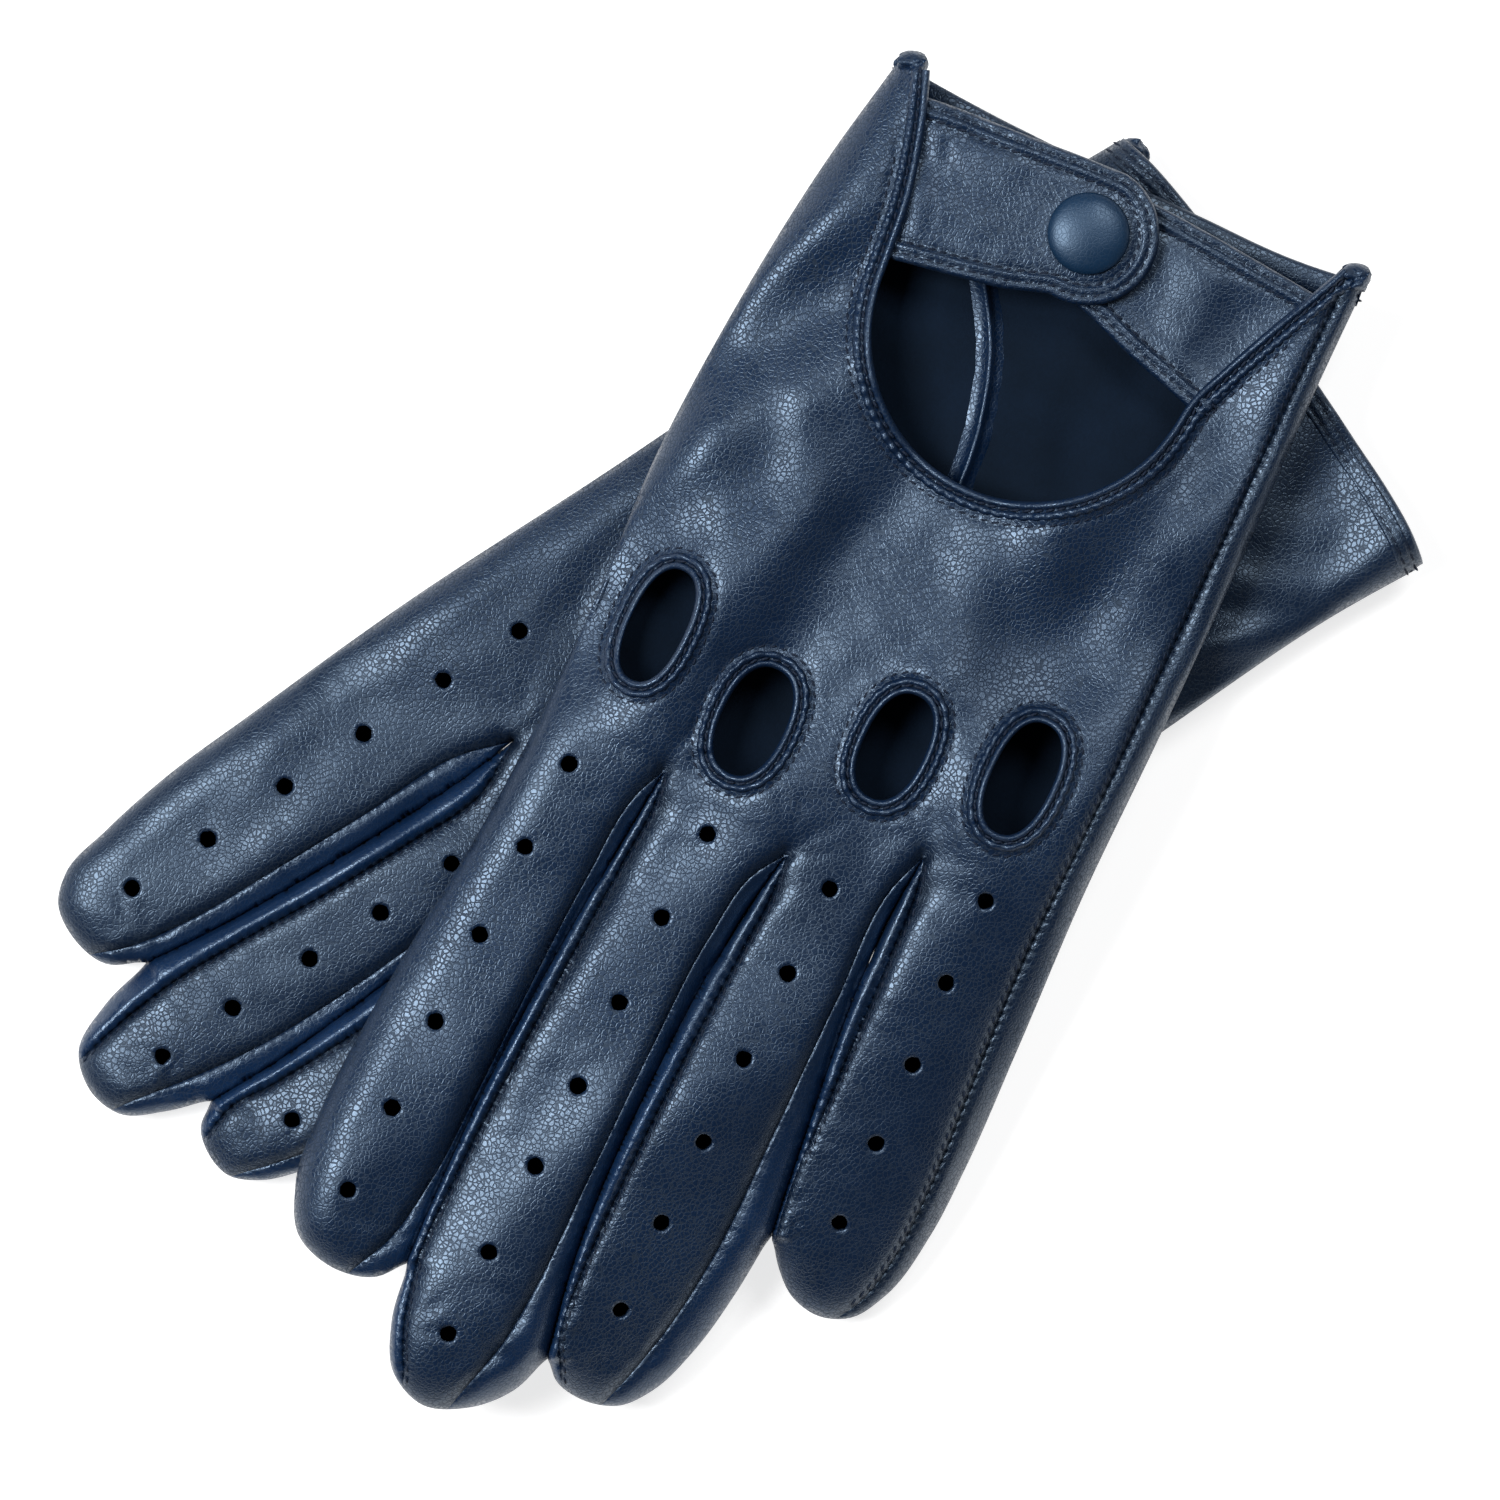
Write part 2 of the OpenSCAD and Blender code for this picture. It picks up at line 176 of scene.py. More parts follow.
def along_line(points, line, reach, shape, closed=False):
    """shape(distance, how far along) for the points within reach of a line, and 0 for the others."""
    result = np.zeros(len(points))
    flat = points[:, :2]
    near = ((flat > line[:, :2].min(0) - reach) & (flat < line[:, :2].max(0) + reach)).all(1)
    if near.any():
        distance, along, _ = nearest(flat[near], line, closed)
        result[near] = shape(distance, along)
    return result


def inside(points, loop):
    """True for the points inside a closed outline."""
    result = np.zeros(len(points), bool)
    x, y = points[:, 0], points[:, 1]
    for a, b in zip(loop, np.roll(loop, -1, 0)):
        crosses = (a[1] > y) != (b[1] > y)
        if crosses.any():
            at = a[0] + (y[crosses] - a[1]) * (b[0] - a[0]) / (b[1] - a[1])
            result[crosses] ^= x[crosses] < at
    return result


def waves(points, length, seed, stretch=(1.0, 1.0)):
    """Soft random undulation of about unit height, with the given distance between its crests."""
    rng = np.random.default_rng(seed)
    p = points[:, :2] * stretch
    bend = np.column_stack([np.sin(p[:, 1] / length * 2.3), np.cos(p[:, 0] / length * 1.9)])
    p = p + 0.22 * length * bend
    total = np.zeros(len(p))
    for _ in range(10):
        angle, phase = rng.uniform(0, 2 * math.pi, 2)
        k = 2 * math.pi / (length * rng.uniform(0.7, 1.6))
        total += np.cos(k * (p[:, 0] * math.cos(angle) + p[:, 1] * math.sin(angle)) + phase)
    return total / 2.24


# ---- placing ----
def turned(p):
    c, s = math.cos(CROSS), math.sin(CROSS)
    return np.column_stack([p[:, 0] * c + p[:, 1] * s, p[:, 1] * c - p[:, 0] * s])


def middle_of(node):
    lo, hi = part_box(node)
    return np.array((lo + hi) * 500)[:2]


ORIGIN = {
    "upper": middle_of("upper_snap_cap") - SNAP,
    "lower": middle_of("lower_snap_cap") - turned(SNAP[None])[0],
}


def to_world(hand, plan, level):
    """Points of a glove's own frame, in metres in the model's frame, with the glove draped as it lies."""
    if hand == "upper":
        p = ORIGIN["upper"] + plan[:, :2]
        across = p - ORIGIN["lower"]
        u = across[:, 0] * math.cos(CROSS) - across[:, 1] * math.sin(CROSS)
        drop = np.where(u < 0, (-u - FLAT_TO_LITTLE) / HANG_RUN, (u - FLAT_TO_INDEX) / HANG_RUN)
        z = UPPER_LEVEL * (1 - smooth(drop)) + level
    else:
        p = ORIGIN["lower"] + turned(plan[:, :2])
        rise = mix(CUFF_LIFT, BASE_LIFT, smooth((plan[:, 1] - LIFT_FLAT) / LIFT_RUN))
        z = rise + THICKNESS - level
        z = np.where(z < PRESSED, PRESSED * np.exp(np.minimum(z, PRESSED) / PRESSED - 1), z)
    return np.column_stack([p, z]) / 1000


def to_glove(hand, p):
    """The plan position in a glove's own frame of a position in the model's frame, in millimetres."""
    d = (np.asarray(p) - ORIGIN[hand])[None]
    if hand == "upper":
        return d[0]
    c, s = math.cos(CROSS), math.sin(CROSS)
    return np.array([d[0, 0] * c - d[0, 1] * s, d[0, 0] * s + d[0, 1] * c])


# ---- the two gloves' shapes ----
# Rows of a hand's outline are x, y and the radius to which the edge is rounded there.
SHAPES = {
    "upper": {
        "little_side": [(-42.5, 0, 7), (-42.6, 18, 7), (-43.6, 50, 7), (-44, 83, 7), (-44, 112, 7),
                        (-45.4, 140, 6.5)],
        "tips": [
            [(-46.3, 162, 6), (-46, 174, 6), (-43.4, 187, 7), (-40, 192.4, 8), (-35, 194.5, 8),
             (-29.5, 193.4, 8), (-25.4, 190, 6.5), (-22.4, 186, 5)],
            [(-21.6, 186, 5), (-20.6, 197, 6), (-18.4, 209, 7), (-15.2, 217.5, 8), (-11.5, 222, 8),
             (-4.2, 223.8, 8), (0.2, 222.6, 6.5), (2.7, 219.8, 5)],
            [(3.2, 219.8, 5), (5.8, 227, 6.5), (11.7, 233, 8), (18.3, 235.5, 9), (25, 232.6, 8),
             (29, 225, 6.5), (30.6, 215, 5)],
            [(31, 215, 5), (34.4, 219.2, 6.5), (41.7, 221, 8), (49, 218.6, 8), (53.2, 211, 8),
             (54.7, 198, 7)],
        ],
        "index_side": [(54.3, 184, 7), (53.3, 170, 7), (50.8, 145, 8), (50, 102, 8), (51.2, 78, 8),
                       (50, 50, 8), (46.7, 20, 7), (43.2, 1, 7)],
        "crevices": [
            [(-22, 186), (-19.4, 165), (-17.2, 145), (-16.6, 128), (-17.3, 117.5)],
            [(2.95, 219.8), (5.6, 205), (7, 188), (7.1, 168), (6.2, 148), (4.6, 134), (3.3, 127)],
            [(30.8, 215), (31.3, 204), (31.6, 190), (31.1, 170), (29.8, 150), (28.3, 132),
             (27.4, 123)],
        ],
        "seams": [
            [(-17.3, 117.5), (-18.7, 123), (-19.4, 135), (-20.6, 160), (-21.5, 178), (-23, 187),
             (-25, 193), (-26, 198)],
            [(-17.3, 117.5), (-15, 124), (-14.6, 145), (-14.7, 170), (-14.6, 192), (-13, 206),
             (-10.4, 217), (-8.6, 223), (-7.6, 229)],
            [(3.3, 127), (2.6, 133), (3.1, 145), (4, 165), (4.3, 190), (3.9, 205), (2.4, 216),
             (-0.6, 222), (-2.6, 228)],
            [(3.3, 127), (6.6, 132), (8.9, 145), (9.6, 165), (9.7, 190), (9.8, 208), (10.8, 220),
             (13.6, 231), (15.4, 239)],
            [(27.4, 123), (26.6, 128), (27.1, 140), (28.2, 160), (29.1, 180), (29.7, 200),
             (29.3, 214), (26.6, 225), (23.4, 232), (21.6, 238)],
            [(27.4, 123), (29.6, 128), (31.4, 145), (32.2, 165), (32.6, 185), (33.2, 202),
             (35.3, 213), (38.6, 220), (40.6, 226)],
        ],
        "lip": [(-39.3, -3), (-39.3, 20), (-39.6, 60), (-39.7, 100), (-39.8, 128), (-41, 148),
                (-42.2, 168), (-41.9, 181), (-40, 189.5), (-37.6, 194), (-36, 199)],
        "back_crotch": (117.5, 127, 123),
        "holes": [(-29.3, 120, -31.2, 178.8, 5), (-5.5, 129, -4.2, 206.5, 6),
                  (16.7, 129.7, 19.8, 222.3, 7), (42.2, 128.7, 44.5, 208.2, 6)],
    },
    "lower": {
        "little_side": [(-43.2, 0, 7), (-42, 14, 7), (-42, 50, 7), (-43, 83, 7), (-44.5, 112, 7),
                        (-46.8, 140, 6.5)],
        "tips": [
            [(-48.6, 162, 6), (-48.8, 174, 6), (-46.4, 187, 7), (-43, 192.4, 8), (-38, 194.5, 8),
             (-32.5, 193.4, 8), (-28.2, 190, 6.5), (-25.4, 185, 5)],
            [(-25, 185, 5), (-24.6, 197, 6), (-22.6, 210, 6.5), (-19.6, 217.6, 7),
             (-16.2, 221.2, 7), (-11, 221.9, 7), (-7, 220.6, 6.5), (-4.4, 216.6, 5)],
            [(-4, 216.6, 5), (-1.4, 224, 6), (2.6, 230.6, 7), (7.7, 232.4, 8), (15, 230.4, 7),
             (19, 222.4, 6), (20.8, 212.6, 5)],
            [(21.2, 212.6, 5), (24.6, 218.4, 6.5), (31.4, 220.5, 7), (37.6, 219.3, 7),
             (41, 215.4, 7), (43.1, 206, 7)],
        ],
        "index_side": [(44.8, 194, 7), (45.7, 174, 7), (46.6, 146, 8), (46, 100, 8), (46, 78, 8),
                       (45.6, 50, 8), (44.9, 20, 7), (43.9, 1, 7)],
        "crevices": [
            [(-25.2, 185), (-23, 165), (-21.4, 150), (-21, 130), (-21.6, 117)],
            [(-4.2, 216.6), (-4.8, 205), (-4.5, 190), (-3.6, 172), (-2.8, 155), (-2.2, 145),
             (-1.6, 127)],
            [(21, 212.6), (19.3, 200), (18, 185), (17.2, 170), (16.9, 155), (17.4, 141.5),
             (20.6, 123)],
        ],
        "seams": [
            [(-21.6, 117), (-23.2, 130), (-24.4, 150), (-25.6, 170), (-26.6, 184), (-28, 190),
             (-29, 196)],
            [(-21.6, 117), (-19, 130), (-18.6, 150), (-19.6, 175), (-20.6, 198), (-20.2, 208),
             (-18.2, 215.5), (-16.6, 221), (-15.6, 227)],
            [(-1.6, 127), (-4.6, 140), (-6.9, 155), (-7.8, 175), (-8.3, 192), (-7.8, 206),
             (-7, 214), (-8.6, 220.6), (-9.6, 227)],
            [(-1.6, 127), (-0.6, 140), (-1, 155), (-1.6, 175), (-1.8, 192), (-1, 206), (1, 218),
             (3.4, 229), (4.4, 238)],
            [(20.6, 123), (15.4, 142.5), (13.1, 150), (12.8, 165), (13.5, 180), (15, 198),
             (15.6, 211), (14.9, 222), (13.8, 230), (13.2, 238)],
            [(20.6, 123), (19.4, 142.5), (20.4, 150), (21, 168), (21.8, 188), (22.9, 204),
             (24.8, 213.6), (27.2, 219.4), (29, 226)],
        ],
        "lip": [(-39.6, -3), (-38.4, 20), (-38.4, 60), (-38.8, 90), (-39.8, 120), (-42, 148),
                (-44.2, 168), (-44.4, 181), (-42.6, 189.5), (-40.4, 194), (-39, 199)],
        "back_crotch": (117, 127, 123),
        "holes": [(-33.6, 120, -35.6, 178.8, 5), (-10.6, 129, -14.1, 206.4, 6),
                  (5.8, 131.6, 6.6, 218.7, 7), (32, 129.6, 32.3, 207.7, 6)],
    },
}
PALM_CROTCH = (135, 145, 141.2)
VENT_LEFT = [(-37.9, 0.2), (-35.6, 5), (-31.6, 13.5), (-27.3, 23.5), (-24.6, 30.5)]
VENT_RIGHT = [(30.3, 30.5), (31.1, 22.5), (32.9, 14), (35.7, 5), (37.6, 0.2)]
VENT_MIDDLE = (3.0, 32.5)
VENT_RADIUS = 27.0
KNUCKLE_SIZE = {"little": (5.0, 9.8), "ring": (5.1, 9.2), "middle": (5.3, 9.4), "index": (4.6, 9.9)}


class Glove:
    """One glove's curves, in its own frame."""

    def __init__(self, hand):
        shape = SHAPES[hand]
        self.hand = hand
        self.crevices = [spline(c, 1.2)[::-1] for c in shape["crevices"]]
        self.seams = {
            "back": [spline(seam, 0.6) for seam in shape["seams"]],
            "palm": [spline(self.cut_seam(seam, k // 2), 0.6) for k, seam in enumerate(shape["seams"])],
        }
        self.crotch = {"back": shape["back_crotch"], "palm": PALM_CROTCH}
        self.lip = spline(shape["lip"], 0.6)
        self.rim = self.outline(shape)
        self.vent = self.vent_path()
        self.knuckles = [self.knuckle(finger) for finger in FINGERS]
        self.holes = shape["holes"]

    def crevice_x(self, k, y):
        return np.interp(y, self.crevices[k][:, 1], self.crevices[k][:, 0])

    def cut_seam(self, seam, k):
        """The part of a seam beyond the palm's crotch, starting at the bottom of the slit."""
        seam = np.asarray(seam, float)
        y = PALM_CROTCH[k]
        return np.vstack([[self.crevice_x(k, y), y], seam[seam[:, 1] > y + 1.5]])

    def slit_side(self, k, side, top):
        """One wall of the slit between two fingers, from the palm's crotch up."""
        y = np.arange(PALM_CROTCH[k], top - 0.4, 1.0)
        x = self.crevice_x(k, y) + side * SLIT * smooth((y - PALM_CROTCH[k] + 0.5) / 3)
        return np.column_stack([x, y, np.full(len(y), 1.5 if side < 0 else 4.6)])

    def outline(self, shape):
        """The hand's edge as x, y, radius, from the little finger's corner of the cuff to the index's."""
        tips = shape["tips"]
        parts = [spline(shape["little_side"] + tips[0], 1.0)]
        for k in range(3):
            parts.append(self.slit_side(k, -1, tips[k][-1][1])[::-1])
            parts.append(self.slit_side(k, 1, tips[k][-1][1])[1:])
            last = shape["index_side"] if k == 2 else []
            parts.append(spline(tips[k + 1] + last, 1.0))
        return np.vstack(parts)

    def vent_path(self):
        """The edge of the wrist opening, from the little finger's side over the top to the index side."""
        turn = np.radians(np.arange(170, 5, -10))
        arch = VENT_MIDDLE + VENT_RADIUS * np.column_stack([np.cos(turn), np.sin(turn)])
        return spline(VENT_LEFT + arch.tolist() + VENT_RIGHT, 0.6)

    def knuckle(self, finger):
        """The edge of a knuckle hole, a little squarer than an ellipse."""
        lo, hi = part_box(f"{self.hand}_{finger}_knuckle_binding")
        middle = to_glove(self.hand, np.array((lo + hi) * 500)[:2])
        half = KNUCKLE_SIZE[finger]
        turn = np.radians(np.arange(0, 360, 6))
        x = middle[0] + half[0] * squarish(np.cos(turn), 0.86)
        y = middle[1] + half[1] * squarish(np.sin(turn), 0.86)
        return resample(np.column_stack([x, y]), 0.6, closed=True)

    def perforations(self, side):
        """Centres of the small holes in the fingers. Those on the hidden side lie between the others."""
        rng = np.random.default_rng(3)
        shown = "back" if self.hand == "upper" else "palm"
        between = 0 if side == shown else 1
        out = []
        for x0, y0, x1, y1, count in self.holes:
            for k in range(count - between):
                s = (k + between / 2) / (count - 1)
                x = mix(x0, x1, s) + rng.uniform(-0.3, 0.3)
                y = mix(y0, y1, s) + rng.uniform(-0.4, 0.4)
                out.append((x, y))
        return np.array(out)


GLOVES = {hand: Glove(hand) for hand in ("upper", "lower")}


# ---- the surface of a glove ----
def roundness(q):
    """How far a rounded edge has dropped, from 1 at the edge to 0 at its radius."""
    return 1 - np.sqrt(np.clip(1 - (1 - np.clip(q, 0, 1)) ** 2, 0, 1))


def edge_drop(glove, side, points):
    """1 at the outside edge and in the slits between the fingers, falling to 0 on the flat."""
    rim = glove.rim
    distance, along, _ = nearest(points, rim)
    length = np.r_[0, np.cumsum(np.hypot(*np.diff(rim[:, :2], axis=0).T))]
    radius = np.interp(along, length, rim[:, 2])
    drop = roundness(distance / radius)
    total = drop**3
    for k, (low, high) in enumerate(zip(glove.crotch[side], PALM_CROTCH)):
        if high - low < 3:
            continue
        y = np.arange(low, high + 0.1, 1.0)
        groove = np.column_stack([glove.crevice_x(k, y), y])
        total += groove_drop(points, groove, high - low) ** 3
    return np.minimum(total, 1) ** (1 / 3), distance


def groove_drop(points, groove, run):
    """The drop beside a slit's closed end, steep beside the rolled fourchette and wide opposite."""
    result = np.zeros(len(points))
    near = along_line(points, groove, 6, lambda d, s: d < 5) > 0
    if near.any():
        gap, along, side = nearest(points[near], groove)
        depth = 0.3 + 0.7 * smooth(along / run / 0.7)
        result[near] = depth * roundness(gap / np.where(side > 0, 1.4, 4.4))
    return result


def overlap(glove, points):
    """Moves each finger a little over the next, so that no light comes up between them."""
    aside, rise = np.zeros(len(points)), np.zeros(len(points))
    for k, crevice in enumerate(glove.crevices):
        line = crevice[crevice[:, 1] > PALM_CROTCH[k]]
        near = along_line(points, line, 4, lambda d, s: d < 3) > 0
        gap, along, side = nearest(points[near], line)
        amount = side * bell(gap, 1.1) * smooth(along / 5)
        aside[near] += 0.26 * amount
        rise[near] += 0.9 * amount
    return aside, rise


def beat(along):
    """1 at each stitch and -1 halfway between two."""
    return np.cos(2 * math.pi * along / STITCH_PITCH)


def pinched(along, amount):
    """Deeper at each stitch than between them."""
    return 1 + amount * beat(along)


def seam_valley(points, line, width, pinch):
    """The dip along a seam, pinched at each stitch."""
    return along_line(points, line, 6, lambda d, s: (
        0.85 * bell(d, width) * pinched(s, pinch) + 0.3 * bell(d, 2.4)))


def fourchette_fall(points, line, sunk, deep):
    """On a seam's slit side the fourchette lies lower than the panel, or is rolled up beside the seam."""
    def shape(distance, along):
        if sunk:
            depth = 0.25 + deep * (1 - smooth((along - 20) / 40))
            return depth * smooth(distance / 1.6) * (1 - smooth((distance - 4) / 3))
        return -0.75 * bell(distance - 1.7, 1.2)

    result = along_line(points, line, 8, shape)
    near = result != 0
    if near.any():
        _, along, side = nearest(points[near], line)
        toward_slit = side > 0 if sunk else side < 0
        result[near] *= toward_slit * smooth(along / 6)
    return result


def fanned(points, root, angles, reach, depth, rng):
    """Short folds that start beside a point and run out from it at about the given angles, in degrees."""
    total = np.zeros(len(points))
    for angle in angles:
        a = math.radians(angle + rng.uniform(-8, 8))
        start = root + rng.uniform(1.0, 2.5) * np.array([math.cos(a), math.sin(a)])
        run = reach * rng.uniform(0.65, 1.35)
        end = start + run * np.array([math.cos(a + 0.2), math.sin(a + 0.2)])
        most = depth * rng.uniform(0.7, 1.3)
        total -= along_line(points, np.vstack([start, end]), 4, lambda d, s, run=run, most=most: (
            most * bell(d, 0.8) * np.sin(math.pi * np.clip(s / run, 0.06, 0.94))))
    return total


def creases(glove, side, points):
    """Short folds around the bottom of each slit, and where a seam ends at a fingertip."""
    rng = np.random.default_rng(11)
    total = np.zeros(len(points))
    for k in range(3):
        y = glove.crotch[side][k]
        root = np.array([glove.crevice_x(k, y), y])
        total += fanned(points, root, (-165, -140, -112, -88, -62, -38, -14), 9.5, 0.45, rng)
        for m, angles in ((2 * k + 1, (-135, -105, -80, -50, -20, 10)), (2 * k, (-160, -130, -95))):
            end = glove.seams[side][m][-24]
            total += fanned(points, end, angles, 6.5, 0.5, rng)
    return total


def finger_folds(points):
    """Fine folds across the fingers, where they bend."""
    fingers = smooth((points[:, 1] - 120) / 15)
    fine = waves(points, 4.2, 41, (0.35, 1.0))
    patch = smooth(0.5 + 0.8 * waves(points, 24, 43))
    return 0.045 * fine * patch * fingers


def opening_valleys(glove, points):
    """The outer row of stitches around each opening, and the swelling inside it."""
    total = along_line(points, glove.vent, 10, lambda d, s: (
        0.28 * bell(d - OUTER_ROW * VENT_RIM, 0.6) * pinched(s, 0.3) - 0.3 * bell(d - 2, 2.4)))
    for loop in glove.knuckles:
        total += along_line(points, loop, 10, lambda d, s: (
            0.3 * bell(d - OUTER_ROW * KNUCKLE_RIM, 0.6) * pinched(s, 0.3) - 0.3 * bell(d - 1.6, 2.2)), True)
    return total


def relief(glove, side, points):
    """Height of the leather above the middle plane of the hand, and how deep in a fold each point is, for
    the shade painted there.
    """
    drop, distance = edge_drop(glove, side, points)
    seed = 100 if glove.hand == "upper" else 200
    seed += 0 if side == "back" else 50
    flat = 1 - drop
    height = HALF * flat + (0.7 if side == "back" else 0.3) * (1 - np.exp(-distance / 8)) * flat
    valley = np.zeros(len(points))
    deep = 1.0 if glove.hand == "upper" else 0.1
    for k, line in enumerate(glove.seams[side]):
        sunk = k % 2 == 1
        valley += seam_valley(points, line, 1.0 if sunk else 0.7, 0.1 if sunk else 0.4)
        valley += fourchette_fall(points, line, sunk, deep)
    if side == "back":
        valley += seam_valley(points, glove.lip, 0.8, 0.4)
        valley += opening_valleys(glove, points)
    hand = 1 - smooth((points[:, 1] - 112) / 25)
    if (side == "back") != (glove.hand == "upper"):
        broad = 0.25
    elif side == "back":
        broad = 0.65 + 0.9 * hand
    else:
        broad = 0.6 + 0.4 * hand
    soft = broad * waves(points, 33, seed, (1.0, 0.75))
    soft += (0.13 + 0.17 * hand) * waves(points, 13, seed + 1, (1.0, 0.6))
    creased = smooth(0.5 + 0.7 * waves(points, 30, seed + 4))
    soft += 0.05 * creased * waves(points, 5, seed + 2)
    soft += creases(glove, side, points) + finger_folds(points)
    height += (soft - valley) * flat
    # The second value is the mask of the shade painted in the seams and folds
    return height, np.clip(valley, 0, 1) * flat


def level_at(glove, side, points):
    """The level of the leather's outside at each point."""
    height, _ = relief(glove, side, points)
    return HALF + height if side == "back" else HALF - height


# ---- meshes ----
def thinned(points, cell):
    """The points with at most one left in each square of a grid."""
    keys = np.floor(points / cell).astype(int)
    _, first = np.unique(keys, axis=0, return_index=True)
    return points[np.sort(first)]


def rows_beside(line, offsets, closed=False):
    normal = normals_of(line, closed)
    return np.vstack([line[:, :2] + side * d * normal for d in offsets for side in (-1, 1)])


def triangulate(loops, lines, step, rows):
    """Triangles inside the first loop and outside the others, with edges along every loop and line."""
    fixed = [(loop, True) for loop in loops] + [(line, False) for line in lines]
    coords, edges = [], []
    for line, closed in fixed:
        start, n = len(coords), len(line)
        coords += line[:, :2].tolist()
        edges += [(start + i, start + i + 1) for i in range(n - 1)]
        if closed:
            edges.append((start + n - 1, start))
    lo, hi = loops[0][:, :2].min(0), loops[0][:, :2].max(0)
    beside = thinned(np.vstack(rows), 0.5)
    tree = KDTree(len(beside))
    for i, p in enumerate(beside):
        tree.insert((p[0], p[1], 0), i)
    tree.balance()
    grid = []
    for i, y in enumerate(np.arange(lo[1], hi[1], step * 0.866)):
        xs = np.arange(lo[0] + (i % 2) * step / 2, hi[0], step)
        grid += [(x, y) for x in xs if tree.find((x, y, 0))[2] > 0.55 * step]
    free = np.vstack([beside, np.array(grid)])
    free = free[inside(free, loops[0])]
    for line, closed in fixed:
        free = free[along_line(free, line, 1, lambda d, s: d < 0.04, closed) == 0]
    coords = [Vector(c) for c in coords + free.tolist()]
    verts, _, faces, _, _, _ = delaunay_2d_cdt(coords, edges, [], 0, 1e-5)
    verts, faces = np.array([tuple(v) for v in verts]), np.array(faces)
    middle = verts[faces].mean(1)
    shown = inside(middle, loops[0][:, :2])
    for loop in loops[1:]:
        shown &= ~inside(middle, loop[:, :2])
    return verts, faces[shown]


def used(faces):
    """Only the vertices that the faces use, and the faces renumbered for them."""
    keep, new = np.unique(faces, return_inverse=True)
    return keep, new.reshape(faces.shape)


def mesh_object(name, verts, faces, materials, folds=None):
    mesh = bpy.data.meshes.new(name)
    mesh.from_pydata(np.asarray(verts).tolist(), [], [list(map(int, f)) for f in faces])
    # A point attribute with the mask of the shade painted in folds, seams and grooves
    mesh.attributes.new("fold_shade", "FLOAT", "POINT").data.foreach_set(
        "value", np.zeros(len(verts), np.float32) if folds is None else np.asarray(folds, np.float32))
    bm = bmesh.new()
    bm.from_mesh(mesh)
    bmesh.ops.remove_doubles(bm, verts=bm.verts, dist=2e-6)
    bm.to_mesh(mesh)
    bm.free()
    mesh.shade_smooth()
    for material in materials:
        mesh.materials.append(material)
    obj = bpy.data.objects.new(name, mesh)
    bpy.context.scene.collection.objects.link(obj)
    return obj


def finished(obj, body, nodes=()):
    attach(obj, body)
    if nodes:
        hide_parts(*nodes)
    return obj


def thicken(obj, thickness=LEATHER):
    """Gives a leather piece its thickness, with the suede inside."""
    solid = obj.modifiers.new("leather", "SOLIDIFY")
    solid.thickness = thickness / 1000
    solid.offset = -1
    solid.material_offset = 1
    return obj


# ---- materials ----
def linear(*rgb):
    """A colour given as 0 to 255 on the screen."""
    shares = [v / 255 for v in rgb]
    return tuple(c / 12.92 if c <= 0.04045 else ((c + 0.055) / 1.055) ** 2.4 for c in shares) + (1.0,)


def scaled(colour, factor):
    return tuple(c * factor for c in colour[:3]) + (1.0,)


def feed(tree, socket, value):
    """Gives a shader's input a plain value or another node's output."""
    if isinstance(value, bpy.types.NodeSocket):
        tree.links.new(value, socket)
    else:
        socket.default_value = value


def feed_all(tree, node, **inputs):
    """Feeds a node's inputs, whose names are given with _ for each space."""
    for key, value in inputs.items():
        feed(tree, node.inputs[key.replace("_", " ")], value)


def add(tree, kind, settings=None, **inputs):
    """A new shader node with its settings and inputs."""
    node = tree.nodes.new("ShaderNode" + kind)
    for key, value in (settings or {}).items():
        setattr(node, key, value)
    feed_all(tree, node, **inputs)
    return node


def noise(tree, where, scale, detail, **more):
    return add(tree, "TexNoise", Vector=where, Scale=scale, Detail=detail, **more).outputs["Fac"]


def cell_walls(tree, where, scale):
    """The distance from the walls between the leather's cells."""
    node = add(tree, "TexVoronoi", {"feature": "DISTANCE_TO_EDGE"}, Vector=where, Scale=scale)
    return node.outputs["Distance"]


def multiply_add(tree, kind, *values):
    """The first value times the second, plus the third."""
    node = add(tree, kind, {"operation": "MULTIPLY_ADD"})
    for socket, value in zip(node.inputs, values):
        feed(tree, socket, value)
    return node.outputs[0]


def blended(tree, factor, a, b):
    node = add(tree, "Mix", {"data_type": "RGBA"})
    for index, value in ((0, factor), (6, a), (7, b)):
        feed(tree, node.inputs[index], value)
    return node.outputs[2]


def ranged(tree, value, low, high, to_low, to_high):
    node = add(tree, "MapRange", Value=value, From_Min=low, From_Max=high, To_Min=to_low, To_Max=to_high)
    return node.outputs["Result"]


def bumped(tree, height, strength, distance, **more):
    return add(tree, "Bump", Height=height, Strength=strength, Distance=distance, **more).outputs["Normal"]


def new_material(name):
    """A material, its nodes, its surface shader, and the position on the object in metres."""
    material = bpy.data.materials.new(name)
    material.use_nodes = True
    tree = material.node_tree
    return material, tree, tree.nodes["Principled BSDF"], add(tree, "TexCoord").outputs["Object"]


